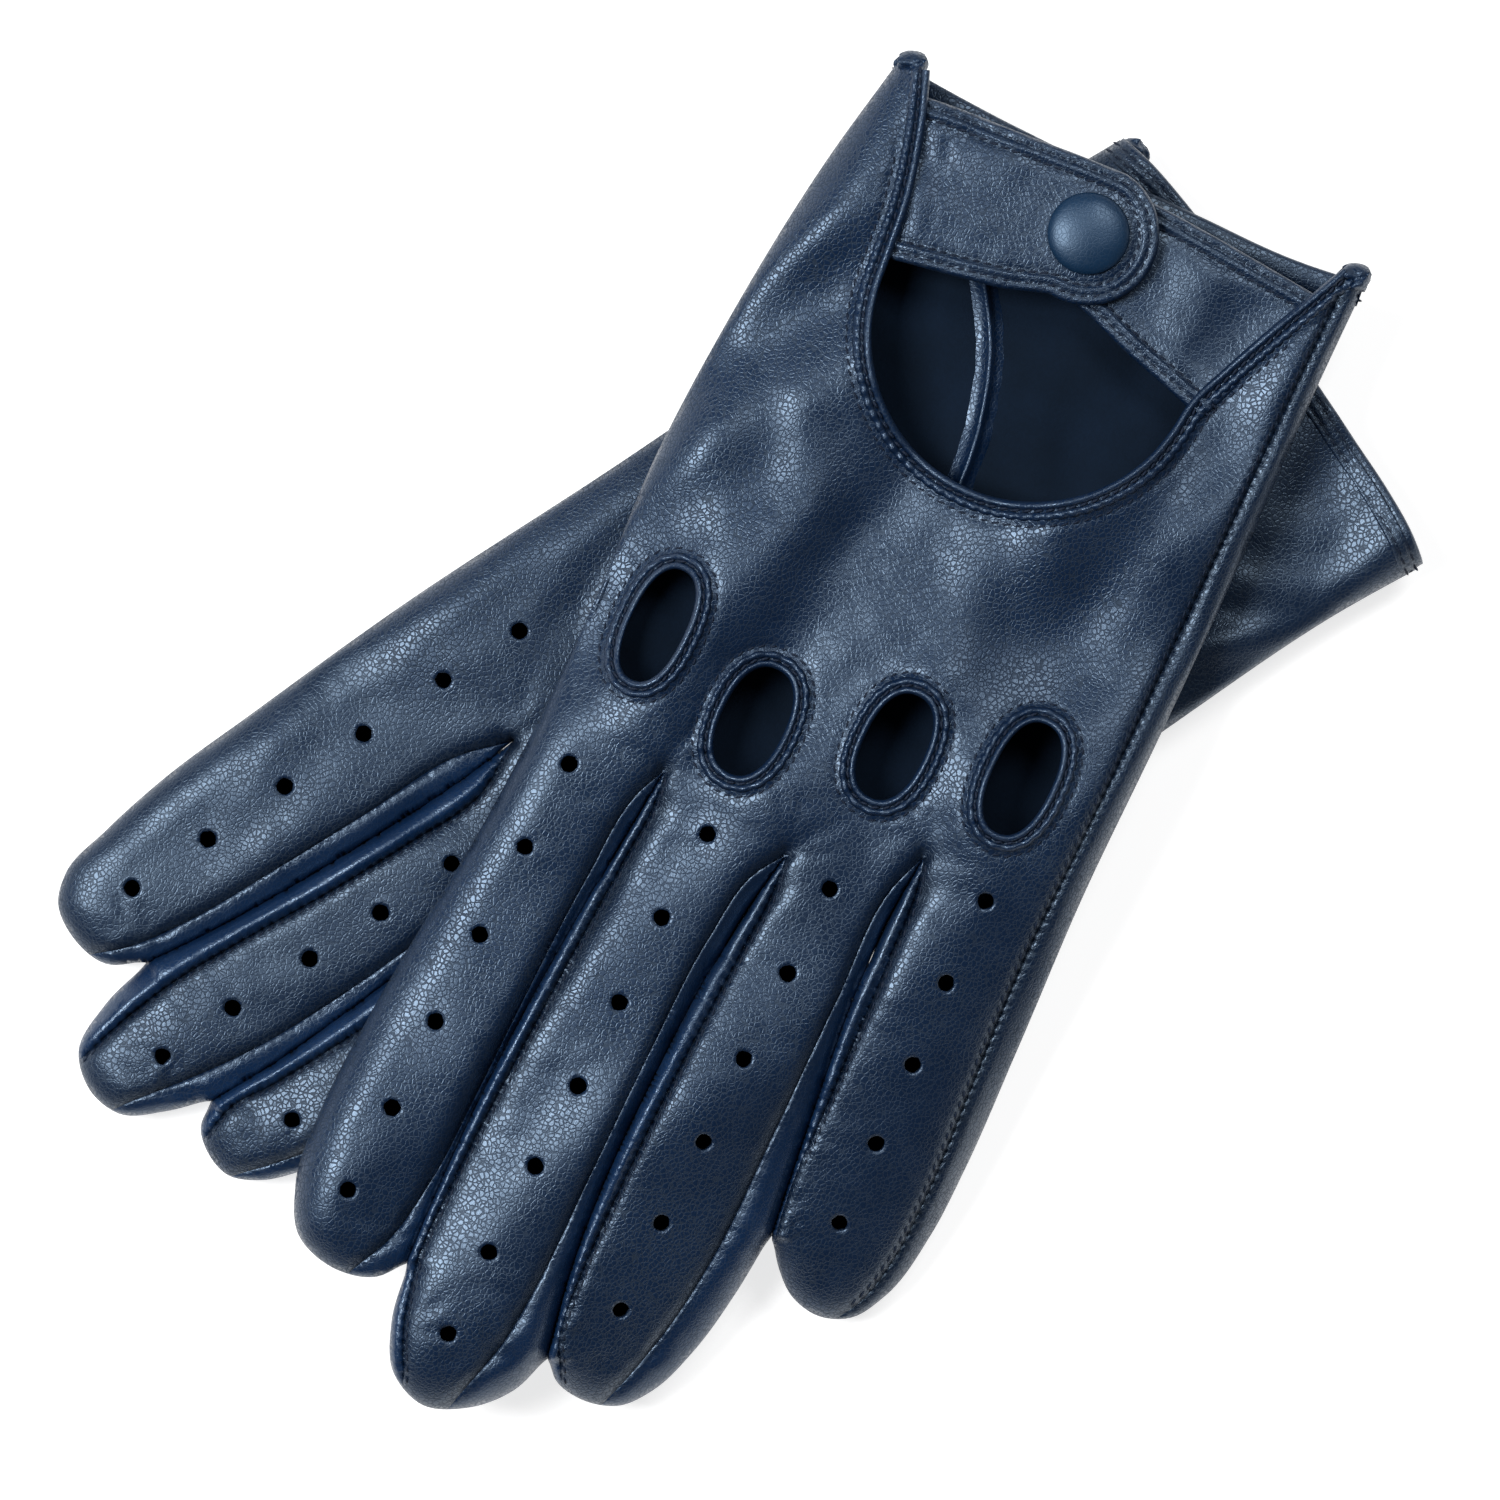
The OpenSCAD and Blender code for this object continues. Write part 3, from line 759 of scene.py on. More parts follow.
def leather(name, deep, lit, rough, grain, creased, coat=0.04):
    """Pebbled leather: fine cells with pores, in a cloudy colour, with shade painted darker in the folds,
    seams and grooves.
    """
    material, tree, surface, where = new_material(name)
    warp = add(tree, "TexNoise", Vector=where, Scale=420.0, Detail=2.0).outputs["Color"]
    bent = multiply_add(tree, "VectorMath", warp, (0.0009,) * 3, where)
    cells = cell_walls(tree, bent, 1250.0)
    small = cell_walls(tree, bent, 2600.0)
    pores = noise(tree, where, 3200.0, 3.0)
    patches = noise(tree, where, 34.0, 4.0, Roughness=0.55)
    cloud = noise(tree, where, 170.0, 4.0)
    # The point attribute that holds the mask of the shade painted in folds, seams and grooves
    fold_shade = add(tree, "Attribute", {"attribute_name": "fold_shade"}).outputs["Fac"]

    marked = ranged(tree, patches, 0.35, 0.65, 0.35 * grain, 0.75 * grain)
    crack = ranged(tree, cells, 0.0, 0.13, marked, 0.0)
    colour = blended(tree, ranged(tree, patches, 0.32, 0.7, 0.0, 1.0), deep, lit)
    colour = blended(tree, ranged(tree, cloud, 0.35, 0.7, 0.0, 0.12), colour, scaled(lit, 1.5))
    colour = blended(tree, crack, colour, scaled(deep, 0.3))
    # Painted shade: the colour darkens towards deep * 0.4 in folds, seams and grooves, as far as creased
    # allows
    colour = blended(tree, ranged(tree, fold_shade, 0.0, 1.0, 0.0, creased), colour, scaled(deep, 0.4))
    cloudy = ranged(tree, cloud, 0.3, 0.72, rough - 0.03, rough + 0.05)

    strength = ranged(tree, patches, 0.3, 0.7, 0.28 * grain, 0.5 * grain)
    pebbles = bumped(tree, ranged(tree, cells, 0.0, 0.16, 0.0, 1.0), strength, 0.00011)
    finer = bumped(tree, ranged(tree, small, 0.0, 0.3, 0.0, 1.0), 0.15 * grain, 0.00004, Normal=pebbles)
    feed_all(tree, surface, Base_Color=colour, Roughness=multiply_add(tree, "Math", crack, 0.6, cloudy),
             Normal=bumped(tree, pores, 0.12, 0.00002, Normal=finer), Specular_IOR_Level=0.8,
             Specular_Tint=(0.56, 0.76, 1.0, 1.0), Coat_Weight=coat, Coat_Roughness=0.34)
    return material


def suede(name, deep, lit):
    """The rough inside of the leather, a short nap with no gloss."""
    material, tree, surface, where = new_material(name)
    nap = noise(tree, where, 1500.0, 5.0, Roughness=0.7)
    brushed = noise(tree, where, 60.0, 3.0)
    colour = blended(tree, ranged(tree, brushed, 0.35, 0.65, 0.0, 1.0), deep, lit)
    colour = blended(tree, ranged(tree, nap, 0.3, 0.7, 0.0, 0.35), colour, scaled(deep, 0.5))
    feed_all(tree, surface, Base_Color=colour, Normal=bumped(tree, nap, 0.6, 0.0002), Roughness=0.95,
             Specular_IOR_Level=0.15)
    return material


def thread(name, deep, lit):
    """Twisted sewing thread."""
    material, tree, surface, where = new_material(name)
    twist = add(tree, "TexWave", Vector=where, Scale=900.0, Distortion=2.0).outputs["Fac"]
    feed_all(tree, surface, Base_Color=blended(tree, twist, deep, lit),
             Normal=bumped(tree, twist, 0.5, 0.00006), Roughness=0.75, Specular_IOR_Level=0.3)
    return material


def metal(name, deep, lit):
    """Nickel plate with fine scratches."""
    material, tree, surface, where = new_material(name)
    marks = noise(tree, where, 1800.0, 4.0)
    feed_all(tree, surface, Base_Color=blended(tree, marks, deep, lit), Metallic=1.0,
             Roughness=ranged(tree, marks, 0.3, 0.7, 0.2, 0.38))
    return material


# Each leather's colour in its deep and lit patches, its roughness, how strong its grain is, and how dark the
# shade painted in its folds is
LEATHERS = {
    "back_leather": ((1, 18, 42), (6, 26, 52), 0.345, 1.0, 0.85),
    "palm_leather": ((2, 18, 40), (8, 25, 49), 0.36, 1.0, 0.85),
    "binding_leather": ((1, 19, 44), (6, 27, 54), 0.34, 0.8, 0.95),
    "fourchette_leather": ((2, 25, 54), (8, 35, 68), 0.33, 0.6, 0.75),
    "cap_leather": ((3, 30, 54), (6, 38, 66), 0.4, 0.35, 0.3, 0.0),
}
MATERIAL_OF = {name: leather(name, linear(*deep), linear(*lit), *rest)
               for name, (deep, lit, *rest) in LEATHERS.items()}
SUEDE = suede("suede_inside", linear(4, 17, 31), linear(8, 23, 40))
THREAD = thread("navy_thread", linear(3, 16, 34), linear(10, 27, 49))
NICKEL = metal("nickel", linear(104, 106, 110), linear(150, 152, 156))


# ---- the hand ----
FOURCHETTES = ("little_fourchette", "ring_outer_fourchette", "ring_inner_fourchette",
               "middle_outer_fourchette", "middle_inner_fourchette", "index_fourchette")
HEM_EDGE = {
    "upper": [(-42.2, 0.2), (-32, 1.5), (-10, 1.9), (15, 1.7), (34, 1.1), (42.8, 0.2)],
    "lower": [(-43, -1.4), (-35, -2.6), (-12, -3.2), (16, -2.6), (36, -1), (43.8, 0.4)],
}


def circle(centre, radius, count, seed):
    """A small hole's edge, not quite round."""
    rng = np.random.default_rng(seed)
    turn = np.arange(count) / count * 2 * math.pi
    r = radius * (1 + rng.uniform(-0.07, 0.07, count))
    return np.column_stack([centre[0] + r * np.cos(turn), centre[1] + r * np.sin(turn)])


def fourchette_zone(glove, side, m):
    """The outline, in plan, of the strip between a finger's seam and the slit beside it."""
    crevice = glove.crevices[m // 2]
    crevice = crevice[crevice[:, 1] >= glove.crotch[side][m // 2]]
    top = [[crevice[-1, 0], crevice[-1, 1] + 50]]
    return np.vstack([glove.seams[side][m], top, crevice[::-1]])


def hand_side(glove, side):
    """One side of a glove in plan: points, triangles, and which piece each triangle belongs to."""
    hem = spline(HEM_EDGE[glove.hand], 1.0)[::-1] + (0, 1.6)
    cuff = hem if side == "palm" else hem[:0]
    loops = [np.vstack([glove.rim[:, :2], cuff])]
    lines = [line[1:] for line in glove.seams[side]]
    rows = [rows_beside(resample(loops[0], 0.9, True), (0.1, 0.4, 0.9, 1.6, 2.5, 3.6), True)]
    rows += [rows_beside(line, (0.55, 1.15, 1.9)) for line in glove.seams[side]]
    if side == "back":
        lines.append(glove.lip)
        rows.append(rows_beside(glove.lip, (0.55, 1.15, 1.9)))
        wide = glove.vent + 1.3 * normals_of(glove.vent)
        loops.append(np.vstack([[[-38.5, -8]], wide, [[38.5, -8]]]))
        rows.append(rows_beside(glove.vent, (3.1, 3.6, 4.1, 4.6, 5.1, 5.8)))
        for loop in glove.knuckles:
            outward = -normals_of(loop, True)
            loops.append(loop + 1.5 * outward)
            rows.append(rows_beside(loop, (2.2, 2.7, 3.1, 3.5, 4.0, 4.6, 5.4), True))
        for k in range(3):
            y = np.arange(glove.crotch[side][k] + 0.8, PALM_CROTCH[k] - 0.3, 0.7)
            lines.append(np.column_stack([glove.crevice_x(k, y), y]))
            rows.append(rows_beside(lines[-1], (0.35, 0.8, 1.5)))
    for k, centre in enumerate(glove.perforations(side)):
        loops.append(circle(centre, 1.42, 14, 60 + k))
        rows.append(circle(centre, 2.0, 16, 60 + k))
        rows.append(circle(centre, 2.8, 18, 60 + k))
    verts, faces = triangulate(loops, lines, 1.35, rows)
    middle = verts[faces].mean(1)
    piece = np.full(len(faces), side + "_panel", dtype=object)
    if side == "back":
        lip_zone = np.vstack([glove.lip, [[-80, 210], [-80, -20]]])
        piece[inside(middle, lip_zone)] = "palm_panel"
    for m, name in enumerate(FOURCHETTES):
        piece[inside(middle, fourchette_zone(glove, side, m))] = name
    return verts, faces, piece


def hand_pieces(hand):
    """The panels and fourchettes of one glove."""
    glove = GLOVES[hand]
    parts = {}
    for side in ("back", "palm"):
        plan, faces, piece = hand_side(glove, side)
        height, fold_shade = relief(glove, side, plan)
        aside, rise = overlap(glove, plan)
        level = HALF + rise + (height if side == "back" else -height)
        world = to_world(hand, np.column_stack([plan[:, 0] + aside, plan[:, 1]]), level)
        if (side == "palm") == (hand == "upper"):
            faces = faces[:, ::-1]
        for name in set(piece):
            keep, new = used(faces[piece == name])
            parts.setdefault(name, []).append((world[keep], new, fold_shade[keep]))
    for name, found in sorted(parts.items()):
        start, faces = 0, []
        for verts, new, _ in found:
            faces.append(new + start)
            start += len(verts)
        slot = name.replace("_panel", "_leather") if name.endswith("_panel") else "fourchette_leather"
        obj = mesh_object(f"{hand}_{name}_leather", np.vstack([v for v, _, _ in found]), np.vstack(faces),
                          [MATERIAL_OF[slot], SUEDE], np.concatenate([f for _, _, f in found]))
        finished(thicken(obj), hand + "_glove", [f"{hand}_{name}"])


# ---- bindings, hem, strap and tab ----
# Section of a binding: distance from the opening's edge, and height above the leather
BINDING_SECTION = ((1.3, -1.5), (0.5, -1.3), (0.1, -0.8), (0.0, -0.2), (0.1, 0.3), (0.4, 0.72),
                   (0.8, 0.86), (1.15, 0.72), (1.4, 0.3), (1.6, -0.05), (1.8, -0.1), (2.0, 0.15),
                   (2.25, 0.5), (2.6, 0.66), (2.95, 0.6), (3.25, 0.35), (3.45, 0.0), (3.55, -0.5))
HEM_SECTION = ((4.4, 0.5), (4.3, -0.1), (4.0, -0.4), (3.6, -0.3), (3.3, -0.1), (3.0, -0.42),
               (2.5, -0.6), (2.0, -0.5), (1.6, -0.12), (1.2, -0.42), (0.7, -0.45), (0.2, -0.1),
               (0.0, 0.6), (0.2, 1.2), (0.8, 1.6), (2.5, 1.5), (4.0, 1.45), (4.4, 1.0))


def strip_faces(n, m, around, across=False):
    """Faces between n rows of m points; around joins the last row to the first, across each row's ends."""
    faces = []
    for i in range(n if around else n - 1):
        for j in range(m if across else m - 1):
            k, l = (i + 1) % n, (j + 1) % m
            faces.append((i * m + j, k * m + j, k * m + l, i * m + l))
    return faces


def facing(verts, faces, up):
    """The faces, turned over if most of them don't face up (1) or down (-1)."""
    v = np.asarray(verts)
    f = np.array(faces)
    normal = np.cross(v[f[:, 2]] - v[f[:, 0]], v[f[:, 3]] - v[f[:, 1]])
    return f[:, ::-1] if normal[:, 2].sum() * up < 0 else f


def swept(path, section, closed=False, width=1.0):
    """A section carried along a path, to the left of it: the points in plan, row after row."""
    normal = normals_of(path, closed)
    return (path[:, None, :] + normal[:, None, :] * section[None, :, :1] * width).reshape(-1, 2)


def opening_binding(glove, name, line, closed, outward, width):
    """The rolled leather around an opening, in two ridges with a sewn groove between them."""
    path = resample(line, 0.45, closed)
    section = np.array(BINDING_SECTION)
    plan = swept(path, section, closed, outward * width)
    along = np.arange(len(path)) * 0.45
    groove = bell(section[:, 0] - 1.7, 0.4)
    outer = bell(section[:, 0] - 3.1, 0.6)
    pinch = beat(along)[:, None] * (0.32 * groove + 0.4 * outer)
    wobble = 0.03 * waves(plan, 7, 71) + 0.06 * waves(plan, 17, 72)
    rise = section[None, :, 1] - pinch
    level = level_at(glove, "back", plan) + rise.reshape(-1) + wobble
    verts = to_world(glove.hand, plan, level)
    faces = strip_faces(len(path), len(section), closed)
    up = 1 if glove.hand == "upper" else -1
    # Painted shade in the binding's sewn groove and along its outer edge
    fold_shade = np.clip(1.1 * groove + 0.9 * bell(section[:, 0] - 3.5, 0.25) - 0.1, 0, 1)
    obj = mesh_object(f"{glove.hand}_{name}_leather", verts, facing(verts, faces, up),
                      [MATERIAL_OF["binding_leather"]], np.tile(fold_shade, len(path)))
    finished(obj, glove.hand + "_glove", [f"{glove.hand}_{name}"])


def hem_level(glove, points):
    """The level of the palm's leather under the hem."""
    at = np.column_stack([points[:, 0], np.maximum(points[:, 1], 2.0)])
    return level_at(glove, "palm", at) + 0.1 * waves(points, 15, 81)


def cuff_hem(glove):
    """The folded and twice sewn edge of the palm."""
    path = resample(spline(HEM_EDGE[glove.hand], 1.0), 0.5)
    section = np.array(HEM_SECTION)
    plan = swept(path, section)
    along = np.arange(len(path)) * 0.5
    pinch = 0.1 * beat(along)[:, None]
    grooves = bell(section[:, 0] - 1.6, 0.5) + bell(section[:, 0] - 3.3, 0.5)
    rise = (section[None, :, 1] + pinch * grooves * (section[None, :, 1] < 0.3)).reshape(-1)
    verts = to_world(glove.hand, plan, hem_level(glove, plan) + rise)
    m = len(section)
    faces = strip_faces(len(path), m, False, True)
    ends = [list(range(m))[::-1], list(range((len(path) - 1) * m, len(path) * m))]
    # Painted shade in the hem's two sewn grooves
    fold_shade = np.tile(np.clip(grooves * 0.8, 0, 1) * (section[:, 1] < 0.3), len(path))
    obj = mesh_object(f"{glove.hand}_cuff_hem_leather", verts, faces + ends,
                      [MATERIAL_OF["palm_leather"]], fold_shade)
    outward_faces(obj)
    finished(obj, glove.hand + "_glove", [glove.hand + "_cuff_hem"])


def outward_faces(obj):
    bm = bmesh.new()
    bm.from_mesh(obj.data)
    bmesh.ops.recalc_face_normals(bm, faces=bm.faces)
    bm.to_mesh(obj.data)
    bm.free()


def plate(hand, name, loop, top, thick, slot, round_edge, step=1.0):
    """A soft flat piece with a rounded edge: top gives the level of its outside and the mask of the shade
    painted in its folds and grooves.
    """
    rows = rows_beside(loop, (0.12, 0.4, 0.8, 1.3, 1.8, 2.3, 2.8, 3.3, 3.8), True)
    verts, faces = triangulate([loop], [], step, [rows])
    distance, _, _ = nearest(verts, loop, True)
    drop = roundness(distance / round_edge)
    thick = thick(verts) if callable(thick) else thick
    level, fold_shade = top(verts)
    high = to_world(hand, verts, level - drop * thick / 2)
    low = to_world(hand, verts, level - thick + drop * thick / 2)
    both = np.vstack([faces, faces[:, ::-1] + len(verts)])
    obj = mesh_object(name, np.vstack([high, low]), both, [MATERIAL_OF[slot]], np.r_[fold_shade, fold_shade])
    outward_faces(obj)
    return obj


def rim_relief(points, line):
    """The folded and twice sewn rim along an edge, and how deep in its grooves each point is, as the mask
    for the shade painted there.
    """
    distance, along, _ = nearest(points, line)
    grooves = (bell(distance - 1.5, 0.34) + 0.8 * bell(distance - 3.4, 0.4)) * pinched(along, 0.45)
    ridges = 0.5 * bell(distance - 0.8, 0.5) + 0.55 * bell(distance - 2.4, 0.65)
    return ridges - 0.55 * grooves, np.clip(grooves, 0, 1)


STRAP_TOP_EDGE = [(-27.4, 32.9), (-24, 31.7), (-12, 28.2), (0, 24.4), (12, 23.6), (28, 23.4)]
STRAP_LOW_EDGE = [(28, 4.2), (12, 3.8), (0, 3.7), (-12, 4.2), (-26, 5.2), (-38.2, 6.2)]
TAB_TOP_EDGE = [(11, 27.4), (20, 29.2), (28, 30.6), (33.4, 31.6)]
TAB_LOW_EDGE = [(38.4, 4.6), (30, 3.6), (20, 3), (10, 2.2)]


def strap_level(points):
    top_edge, low_edge = spline(STRAP_TOP_EDGE, 0.8), spline(STRAP_LOW_EDGE, 0.8)
    top, top_fold_shade = rim_relief(points, top_edge)
    low, low_fold_shade = rim_relief(points, low_edge)
    sink = 1.6 * smooth((points[:, 0] - 8) / 12)
    inner = np.minimum(nearest(points, top_edge)[0], nearest(points, low_edge)[0])
    folds = 1.1 * waves(points, 11, 91, (1.0, 0.25))
    folds *= smooth((points[:, 0] + 38) / 10) * smooth((inner - 2) / 5)
    folds += 0.08 * waves(points, 5, 92)
    # The second value is the mask of the shade painted in the rims' grooves
    return STRAP_LEVEL - sink + 0.5 * folds + top + low, np.clip(top_fold_shade + low_fold_shade, 0, 1)


def tab_loop():
    turn = np.radians(np.arange(262, 81, -9))
    end = np.column_stack([SNAP[0] + 11.8 * np.cos(turn), SNAP[1] + 11.8 * np.sin(turn)])
    return resample(np.vstack([spline(TAB_LOW_EDGE, 0.7), end, spline(TAB_TOP_EDGE, 0.7)]), 0.7)


def tab_level(glove):
    rim = tab_loop()

    def level(points):
        relief_up, fold_shade = rim_relief(points, rim)
        under = level_at(glove, "back", points) - 0.9
        root = smooth((points[:, 0] - 14) / 18)
        from_cap = np.hypot(*(points - SNAP).T)
        droop = 0.35 * smooth((from_cap - 6) / 8) * (1 - root)
        near_cap = 0.12 * bell(from_cap - 8.6, 1.0)
        soft = (0.22 * waves(points, 12, 95) + 0.04 * waves(points, 5, 96)) * smooth((from_cap - 9) / 6)
        return mix(TAB_LEVEL - 0.15, under, root) - droop + soft + relief_up - near_cap, fold_shade

    return level


def hinge_points(hand):
    """Where the tab starts and stops bending, from its root towards the snap, in metres."""
    root, far = np.array([[35.2, 17.5]]), np.array([[27.5, 15.8]])
    return [to_world(hand, p, np.array([TAB_LEVEL - 1.5]))[0] for p in (root, far)]


def strap_and_tab(glove):
    hand = glove.hand
    loop = resample(np.vstack([spline(STRAP_LOW_EDGE, 0.8), spline(STRAP_TOP_EDGE, 0.8)]), 0.7, True)
    strap = plate(hand, hand + "_strap_leather", loop, strap_level, 1.2, "back_leather", 0.6)
    finished(strap, hand + "_glove", [hand + "_strap"])
    loop = resample(tab_loop(), 0.7, True)
    tab = plate(hand, hand + "_tab_leather", loop, tab_level(glove), 1.7, "back_leather", 0.85)
    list(hinge_points(hand))
    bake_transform(tab)
    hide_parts(hand + "_tab")


# Half the section of the cap: share of its radius, and share of the way from its top to its underside
CAP_SECTION = ((0.2, 0.018), (0.4, 0.072), (0.56, 0.15), (0.7, 0.25), (0.82, 0.37), (0.91, 0.5),
               (0.97, 0.65), (1.0, 0.8), (0.99, 0.92), (0.95, 1.0), (0.5, 1.0))


def snap_cap(hand):
    """The leather covered cap: a low dome whose skin turns in under its edge."""
    lo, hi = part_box(hand + "_snap_cap")
    radius = (hi.x - lo.x) / 2
    count = 72
    turn = np.arange(count) / count * 2 * math.pi
    plan, level = [], []
    for r, drop in CAP_SECTION:
        plan.append(np.column_stack([np.cos(turn), np.sin(turn)]) * r * radius * 1000 + SNAP)
        level.append(np.full(count, mix(CAP_TOP, CAP_LOW, drop)))
    plan, level = np.vstack([*plan, SNAP[None]]), np.r_[np.concatenate(level), CAP_TOP]
    level += 0.01 * waves(plan, 4, 99)
    faces = strip_faces(len(CAP_SECTION), count, False, True)
    faces += [(i, (i + 1) % count, len(plan) - 1) for i in range(count)]
    verts = to_world(hand, plan, level)
    obj = mesh_object(hand + "_snap_cap_leather", verts, faces, [MATERIAL_OF["cap_leather"]])
    outward_faces(obj)
    finished(obj, hand + "_tab", [hand + "_snap_cap"])


THUMB = {"upper": ((38.6, 70), (39.2, 112)), "lower": ((9.5, 78), (-20, 114))}


def thumb(glove):
    """The thumb, pressed flat under the palm and growing out of it at its root."""
    root, tip = (np.array(p, float) for p in THUMB[glove.hand])
    axis = (tip - root) / np.hypot(*(tip - root))
    across = np.array([-axis[1], axis[0]])
    side = [(11.6, -4), (12.3, 4), (11.4, 18), (10.4, 34), (9.6, 44), (6.6, 50.5)]
    foot = [(7.5, -10.6), (0, -12.4), (-7.5, -10.6)]
    edge = [(-x, y) for x, y in side] + [(0, 52.8)] + side[::-1] + foot
    scale = np.hypot(*(tip - root)) / 42
    loop = spline([root + across * x + axis * y * scale for x, y in edge], 0.9, True)

    def out(points):
        return smooth(((points - root) @ axis + 12) / 20)

    def level(points):
        soft = 0.16 * waves(points, 14, 31) - 0.06 * waves(points, 6, 32)
        return mix(0.1, -0.8, out(points)) + soft, np.zeros(len(points))

    def thickness(points):
        return mix(1.5, 3.9, out(points))

    name = glove.hand + "_thumb_leather"
    obj = plate(glove.hand, name, loop, level, thickness, "palm_leather", 5.5, 1.6)
    finished(obj, glove.hand + "_glove", [glove.hand + "_thumb"])


def corner_knobs(glove):
    """The ends of the wrist binding, folded under at the corners of the cuff."""
    for name, x, y in (("little", -40.4, 0.6), ("index", 40.8, 0.4)):
        around = np.linspace(0, 2 * math.pi, 33)[:-1]
        turn, tilt = np.meshgrid(around, np.linspace(-math.pi / 2, math.pi / 2, 17))
        px = 2.5 * squarish(np.cos(turn), 0.75) * squarish(np.cos(tilt), 0.75)
        py = 2.3 * squarish(np.sin(turn), 0.75) * squarish(np.cos(tilt), 0.75)
        pt = 3.5 * squarish(np.sin(tilt), 0.75)
        plan = np.column_stack([px.ravel() + x, py.ravel() + y])
        rough = 0.4 * waves(np.column_stack([px.ravel() + pt.ravel(), py.ravel() - pt.ravel()]), 2.8, 55)
        plan += 0.6 * rough[:, None]
        verts = to_world(glove.hand, plan, pt.ravel() + 5.9 + rough)
        faces = strip_faces(17, 32, False, True)
        obj = mesh_object(f"{glove.hand}_{name}_binding_end", verts, faces,
                          [MATERIAL_OF["binding_leather"]])
        outward_faces(obj)
        finished(obj, glove.hand + "_glove")


INNER_SEAM = [(3.6, 62), (4.2, 54), (6, 45), (9, 36.5), (13.4, 29), (18, 23)]
INNER_SEAM_SECTION = ((-2.4, 0.0), (-1.6, 0.5), (-0.7, 0.9), (-0.35, 1.9), (0, 2.2), (0.4, 1.9),
                      (0.6, 0.8), (1.6, 0.35), (2.4, 0.0))


def inner_seam(glove):
    """The edge of the thumb's seam, standing up inside the palm."""
    path = resample(spline(INNER_SEAM, 0.6), 0.5)
    section = np.array(INNER_SEAM_SECTION)
    plan = swept(path, section)
    rise = 0.85 + np.tile(section[:, 1], len(path)) + 0.1 * waves(plan, 6, 65)
    level = level_at(glove, "palm", plan) + rise
    verts = to_world(glove.hand, plan, level)
    up = 1 if glove.hand == "upper" else -1
    faces = facing(verts, strip_faces(len(path), len(section), False), up)
    obj = mesh_object(glove.hand + "_inner_thumb_seam", verts, faces, [MATERIAL_OF["binding_leather"]])
    finished(obj, glove.hand + "_glove")


# ---- stitches ----
def stitch_row(hand, line, level, length=1.35, radius=0.22, closed=False):
    """Short stitches along a line in plan, lying at the given levels above it."""
    path = resample(line, STITCH_PITCH, closed)
    d = np.roll(path, -1, 0) - np.roll(path, 1, 0) if closed else np.gradient(path, axis=0)
    angle = np.arctan2(d[:, 1], d[:, 0]) + STITCH_SLANT
    half = 0.5 * length * np.column_stack([np.cos(angle), np.sin(angle)])
    ends = [to_world(hand, path + s * half, level(path + s * half)) for s in (-1, 1)]
    middle = to_world(hand, path, level(path) + 0.1)
    turn = np.arange(6) / 6 * 2 * math.pi
    verts, faces = [], []
    for a, m, b in zip(ends[0], middle, ends[1]):
        axis = (b - a) / max(np.linalg.norm(b - a), 1e-9)
        side = np.cross(axis, (0, 0, 1.0))
        side /= max(np.linalg.norm(side), 1e-9)
        up = np.cross(side, axis)
        start = len(verts)
        rings = ((a, 0.35), (mix(a, m, 0.45), 0.95), (m, 1.0), (mix(b, m, 0.45), 0.95), (b, 0.35))
        for centre, r in rings:
            verts += [centre + (math.cos(t) * side + math.sin(t) * up) * r * radius / 1000 for t in turn]
        for a_row in range(start, start + 24, 6):
            for j in range(6):
                k = (j + 1) % 6
                faces.append((a_row + j, a_row + k, a_row + 6 + k, a_row + 6 + j))
        faces += [tuple(start + j for j in range(5, -1, -1)), tuple(start + 24 + j for j in range(6))]
    return verts, faces


def stitch_object(name, rows):
    verts, faces = [], []
    for row_verts, row_faces in rows:
        faces += [tuple(i + len(verts) for i in f) for f in row_faces]
        verts += row_verts
    obj = mesh_object(name, verts, faces, [THREAD])
    outward_faces(obj)
    return obj


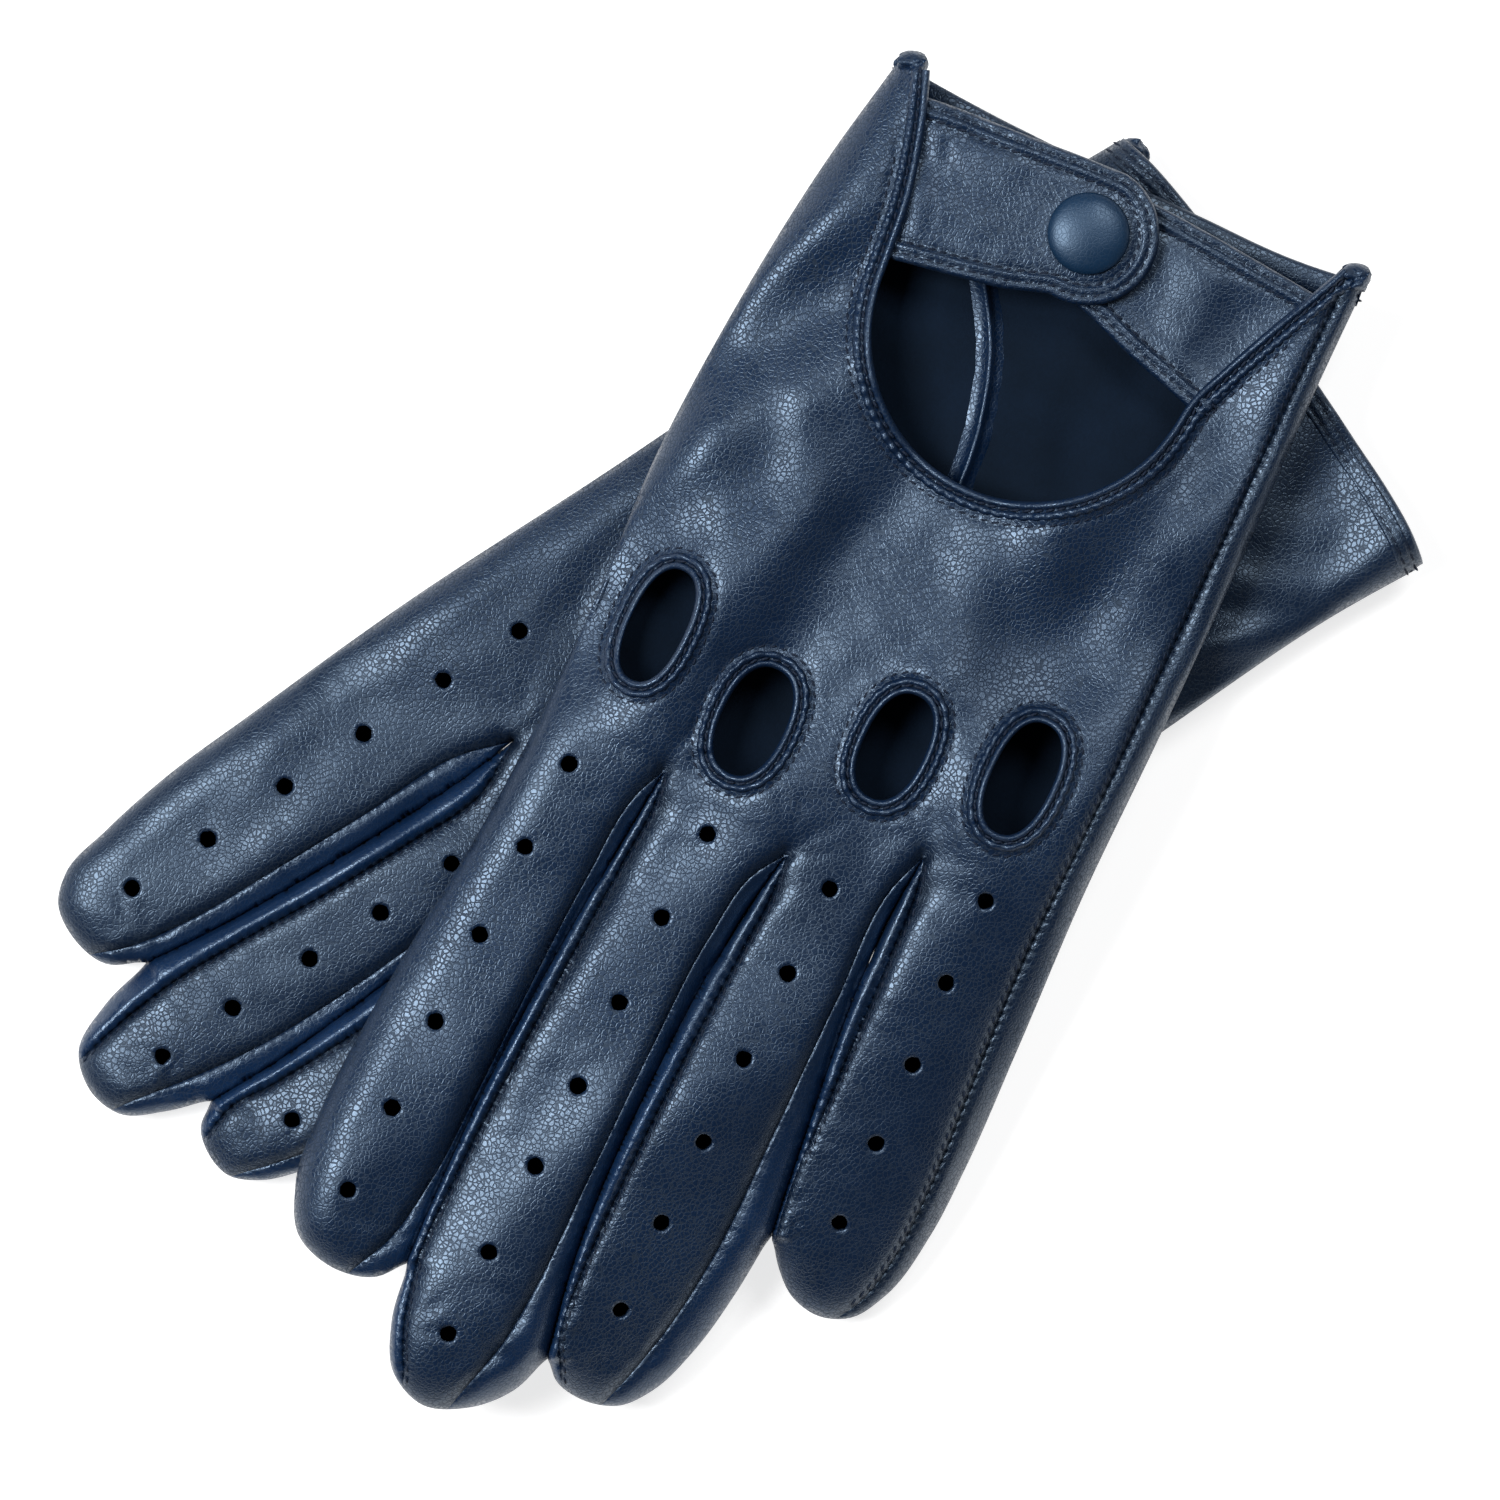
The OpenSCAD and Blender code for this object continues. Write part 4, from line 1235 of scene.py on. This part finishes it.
def hand_stitches(glove):
    """The stitches along the seams, the bindings and the hem."""
    hand, rows = glove.hand, []
    for side in ("back", "palm"):
        up = 1 if side == "back" else -1

        def on(points, side=side, up=up):
            return level_at(glove, side, points) + up * 0.04

        for k, line in enumerate(glove.seams[side][::2]):
            row = line + 0.55 * normals_of(line)
            row = row[line[:, 1] > glove.crotch[side][k] + 1.5]
            row = row[inside(row, glove.rim[:, :2]) & (nearest(row, glove.rim)[0] > 1.2)]
            rows.append(stitch_row(hand, row, on, 1.3, 0.19))

    def on_back(points):
        return level_at(glove, "back", points) + 0.06

    lip = glove.lip - 0.75 * normals_of(glove.lip)
    rows.append(stitch_row(hand, lip[(lip[:, 1] > 4) & (lip[:, 1] < 190)], on_back, 1.3, 0.19))

    def in_groove(points):
        return level_at(glove, "back", points) + 0.26

    for loop in glove.knuckles:
        outward = -normals_of(loop, True)
        rows.append(stitch_row(hand, loop + INNER_ROW * KNUCKLE_RIM * outward, in_groove, closed=True))
        rows.append(stitch_row(hand, loop + OUTER_ROW * KNUCKLE_RIM * outward, on_back, 1.2, 0.17, True))
    outward = normals_of(glove.vent)
    rows.append(stitch_row(hand, glove.vent + INNER_ROW * VENT_RIM * outward, in_groove, 1.35, 0.24))
    outer = glove.vent + OUTER_ROW * VENT_RIM * outward
    rows.append(stitch_row(hand, outer[outer[:, 1] > 16], on_back, 1.25, 0.18))
    edge = resample(spline(HEM_EDGE[hand], 1.0), 0.5)
    for inward in (1.6, 3.3):
        line = edge + inward * normals_of(edge)
        rows.append(stitch_row(hand, line, lambda p: hem_level(glove, p) - 0.2))
    for edge_points in (STRAP_TOP_EDGE, STRAP_LOW_EDGE):
        edge = spline(edge_points, 0.8)
        for inward in (1.5, 3.3):
            line = edge - inward * normals_of(edge)
            rows.append(stitch_row(hand, line[line[:, 0] < 0], lambda p: strap_level(p)[0] + 0.1))
    finished(stitch_object(hand + "_stitching", rows), hand + "_glove")


def tab_stitches(glove):
    rim = tab_loop()
    level = tab_level(glove)
    rows = []
    for inward in (1.5, 3.3):
        line = rim - inward * normals_of(rim)
        rows.append(stitch_row(glove.hand, resample(line, 0.6), lambda p: level(p)[0] + 0.1))
    obj = stitch_object(glove.hand + "_tab_stitching", rows)
    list(hinge_points(glove.hand))
    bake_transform(obj)


# ---- the whole pair ----
for hand, glove in GLOVES.items():
    hand_pieces(hand)
    opening_binding(glove, "wrist_binding", glove.vent, False, 1, VENT_RIM)
    for finger, loop in zip(FINGERS, glove.knuckles):
        opening_binding(glove, finger + "_knuckle_binding", loop, True, -1, KNUCKLE_RIM)
    cuff_hem(glove)
    strap_and_tab(glove)
    snap_cap(hand)
    thumb(glove)
    corner_knobs(glove)
    inner_seam(glove)
    hand_stitches(glove)
    tab_stitches(glove)
    for part in ("snap_socket", "snap_stud", "snap_post"):
        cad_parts[f"{hand}_{part}"].data.materials[0] = NICKEL


# ---- floor, light and camera ----
def floor():
    mesh = bpy.data.meshes.new("floor")
    mesh.from_pydata([(-3, -3, 0), (3, -3, 0), (3, 3, 0), (-3, 3, 0)], [], [(0, 1, 2, 3)])
    obj = bpy.data.objects.new("floor", mesh)
    obj.location.z = -0.0003
    bpy.context.scene.collection.objects.link(obj)
    material, tree, surface, _ = new_material("pale_floor")
    feed_all(tree, surface, Base_Color=(0.5, 0.5, 0.5, 1), Emission_Color=(1, 1, 1, 1),
             Emission_Strength=0.76, Roughness=0.9)
    mesh.materials.append(material)


def soft_light(name, azimuth, elevation, distance, size, power):
    """A large square lamp that faces the gloves."""
    lamp = bpy.data.lights.new(name, "AREA")
    lamp.shape = "SQUARE"
    lamp.size = size
    lamp.energy = power
    obj = bpy.data.objects.new(name, lamp)
    a, e = math.radians(azimuth), math.radians(elevation)
    obj.location = distance * Vector((math.cos(a) * math.cos(e), math.sin(a) * math.cos(e), math.sin(e)))
    obj.rotation_mode = "QUATERNION"
    obj.rotation_quaternion = (-obj.location).to_track_quat("-Z", "Y")
    bpy.context.scene.collection.objects.link(obj)


def studio():
    world = bpy.data.worlds.new("studio")
    world.use_nodes = True
    feed_all(world.node_tree, world.node_tree.nodes["Background"], Color=(1, 1, 1, 1), Strength=0.08)
    bpy.context.scene.world = world
    soft_light("key", 10, 58, 1.2, 0.5, 19.0)
    soft_light("side", 258, 55, 1.2, 0.4, 6.0)


LENS, SENSOR = 200, 36
# The width of the picture at the upper glove's height, and that height, in metres
SEEN_WIDTH, SEEN_LEVEL = 0.2476, 0.024


def camera():
    """Straight down on the pair, with the cuffs up."""
    lens = bpy.data.cameras.new("camera")
    lens.lens = LENS
    lens.sensor_width = SENSOR
    obj = bpy.data.objects.new("camera", lens)
    middle = (ORIGIN["upper"] + (16.2, 114.0)) / 1000
    obj.location = (*middle, SEEN_LEVEL + SEEN_WIDTH * LENS / SENSOR)
    obj.rotation_euler = (0, 0, math.radians(205.5))
    bpy.context.scene.collection.objects.link(obj)
    bpy.context.scene.camera = obj


floor()
studio()
camera()
bpy.context.scene.view_settings.view_transform = "Standard"
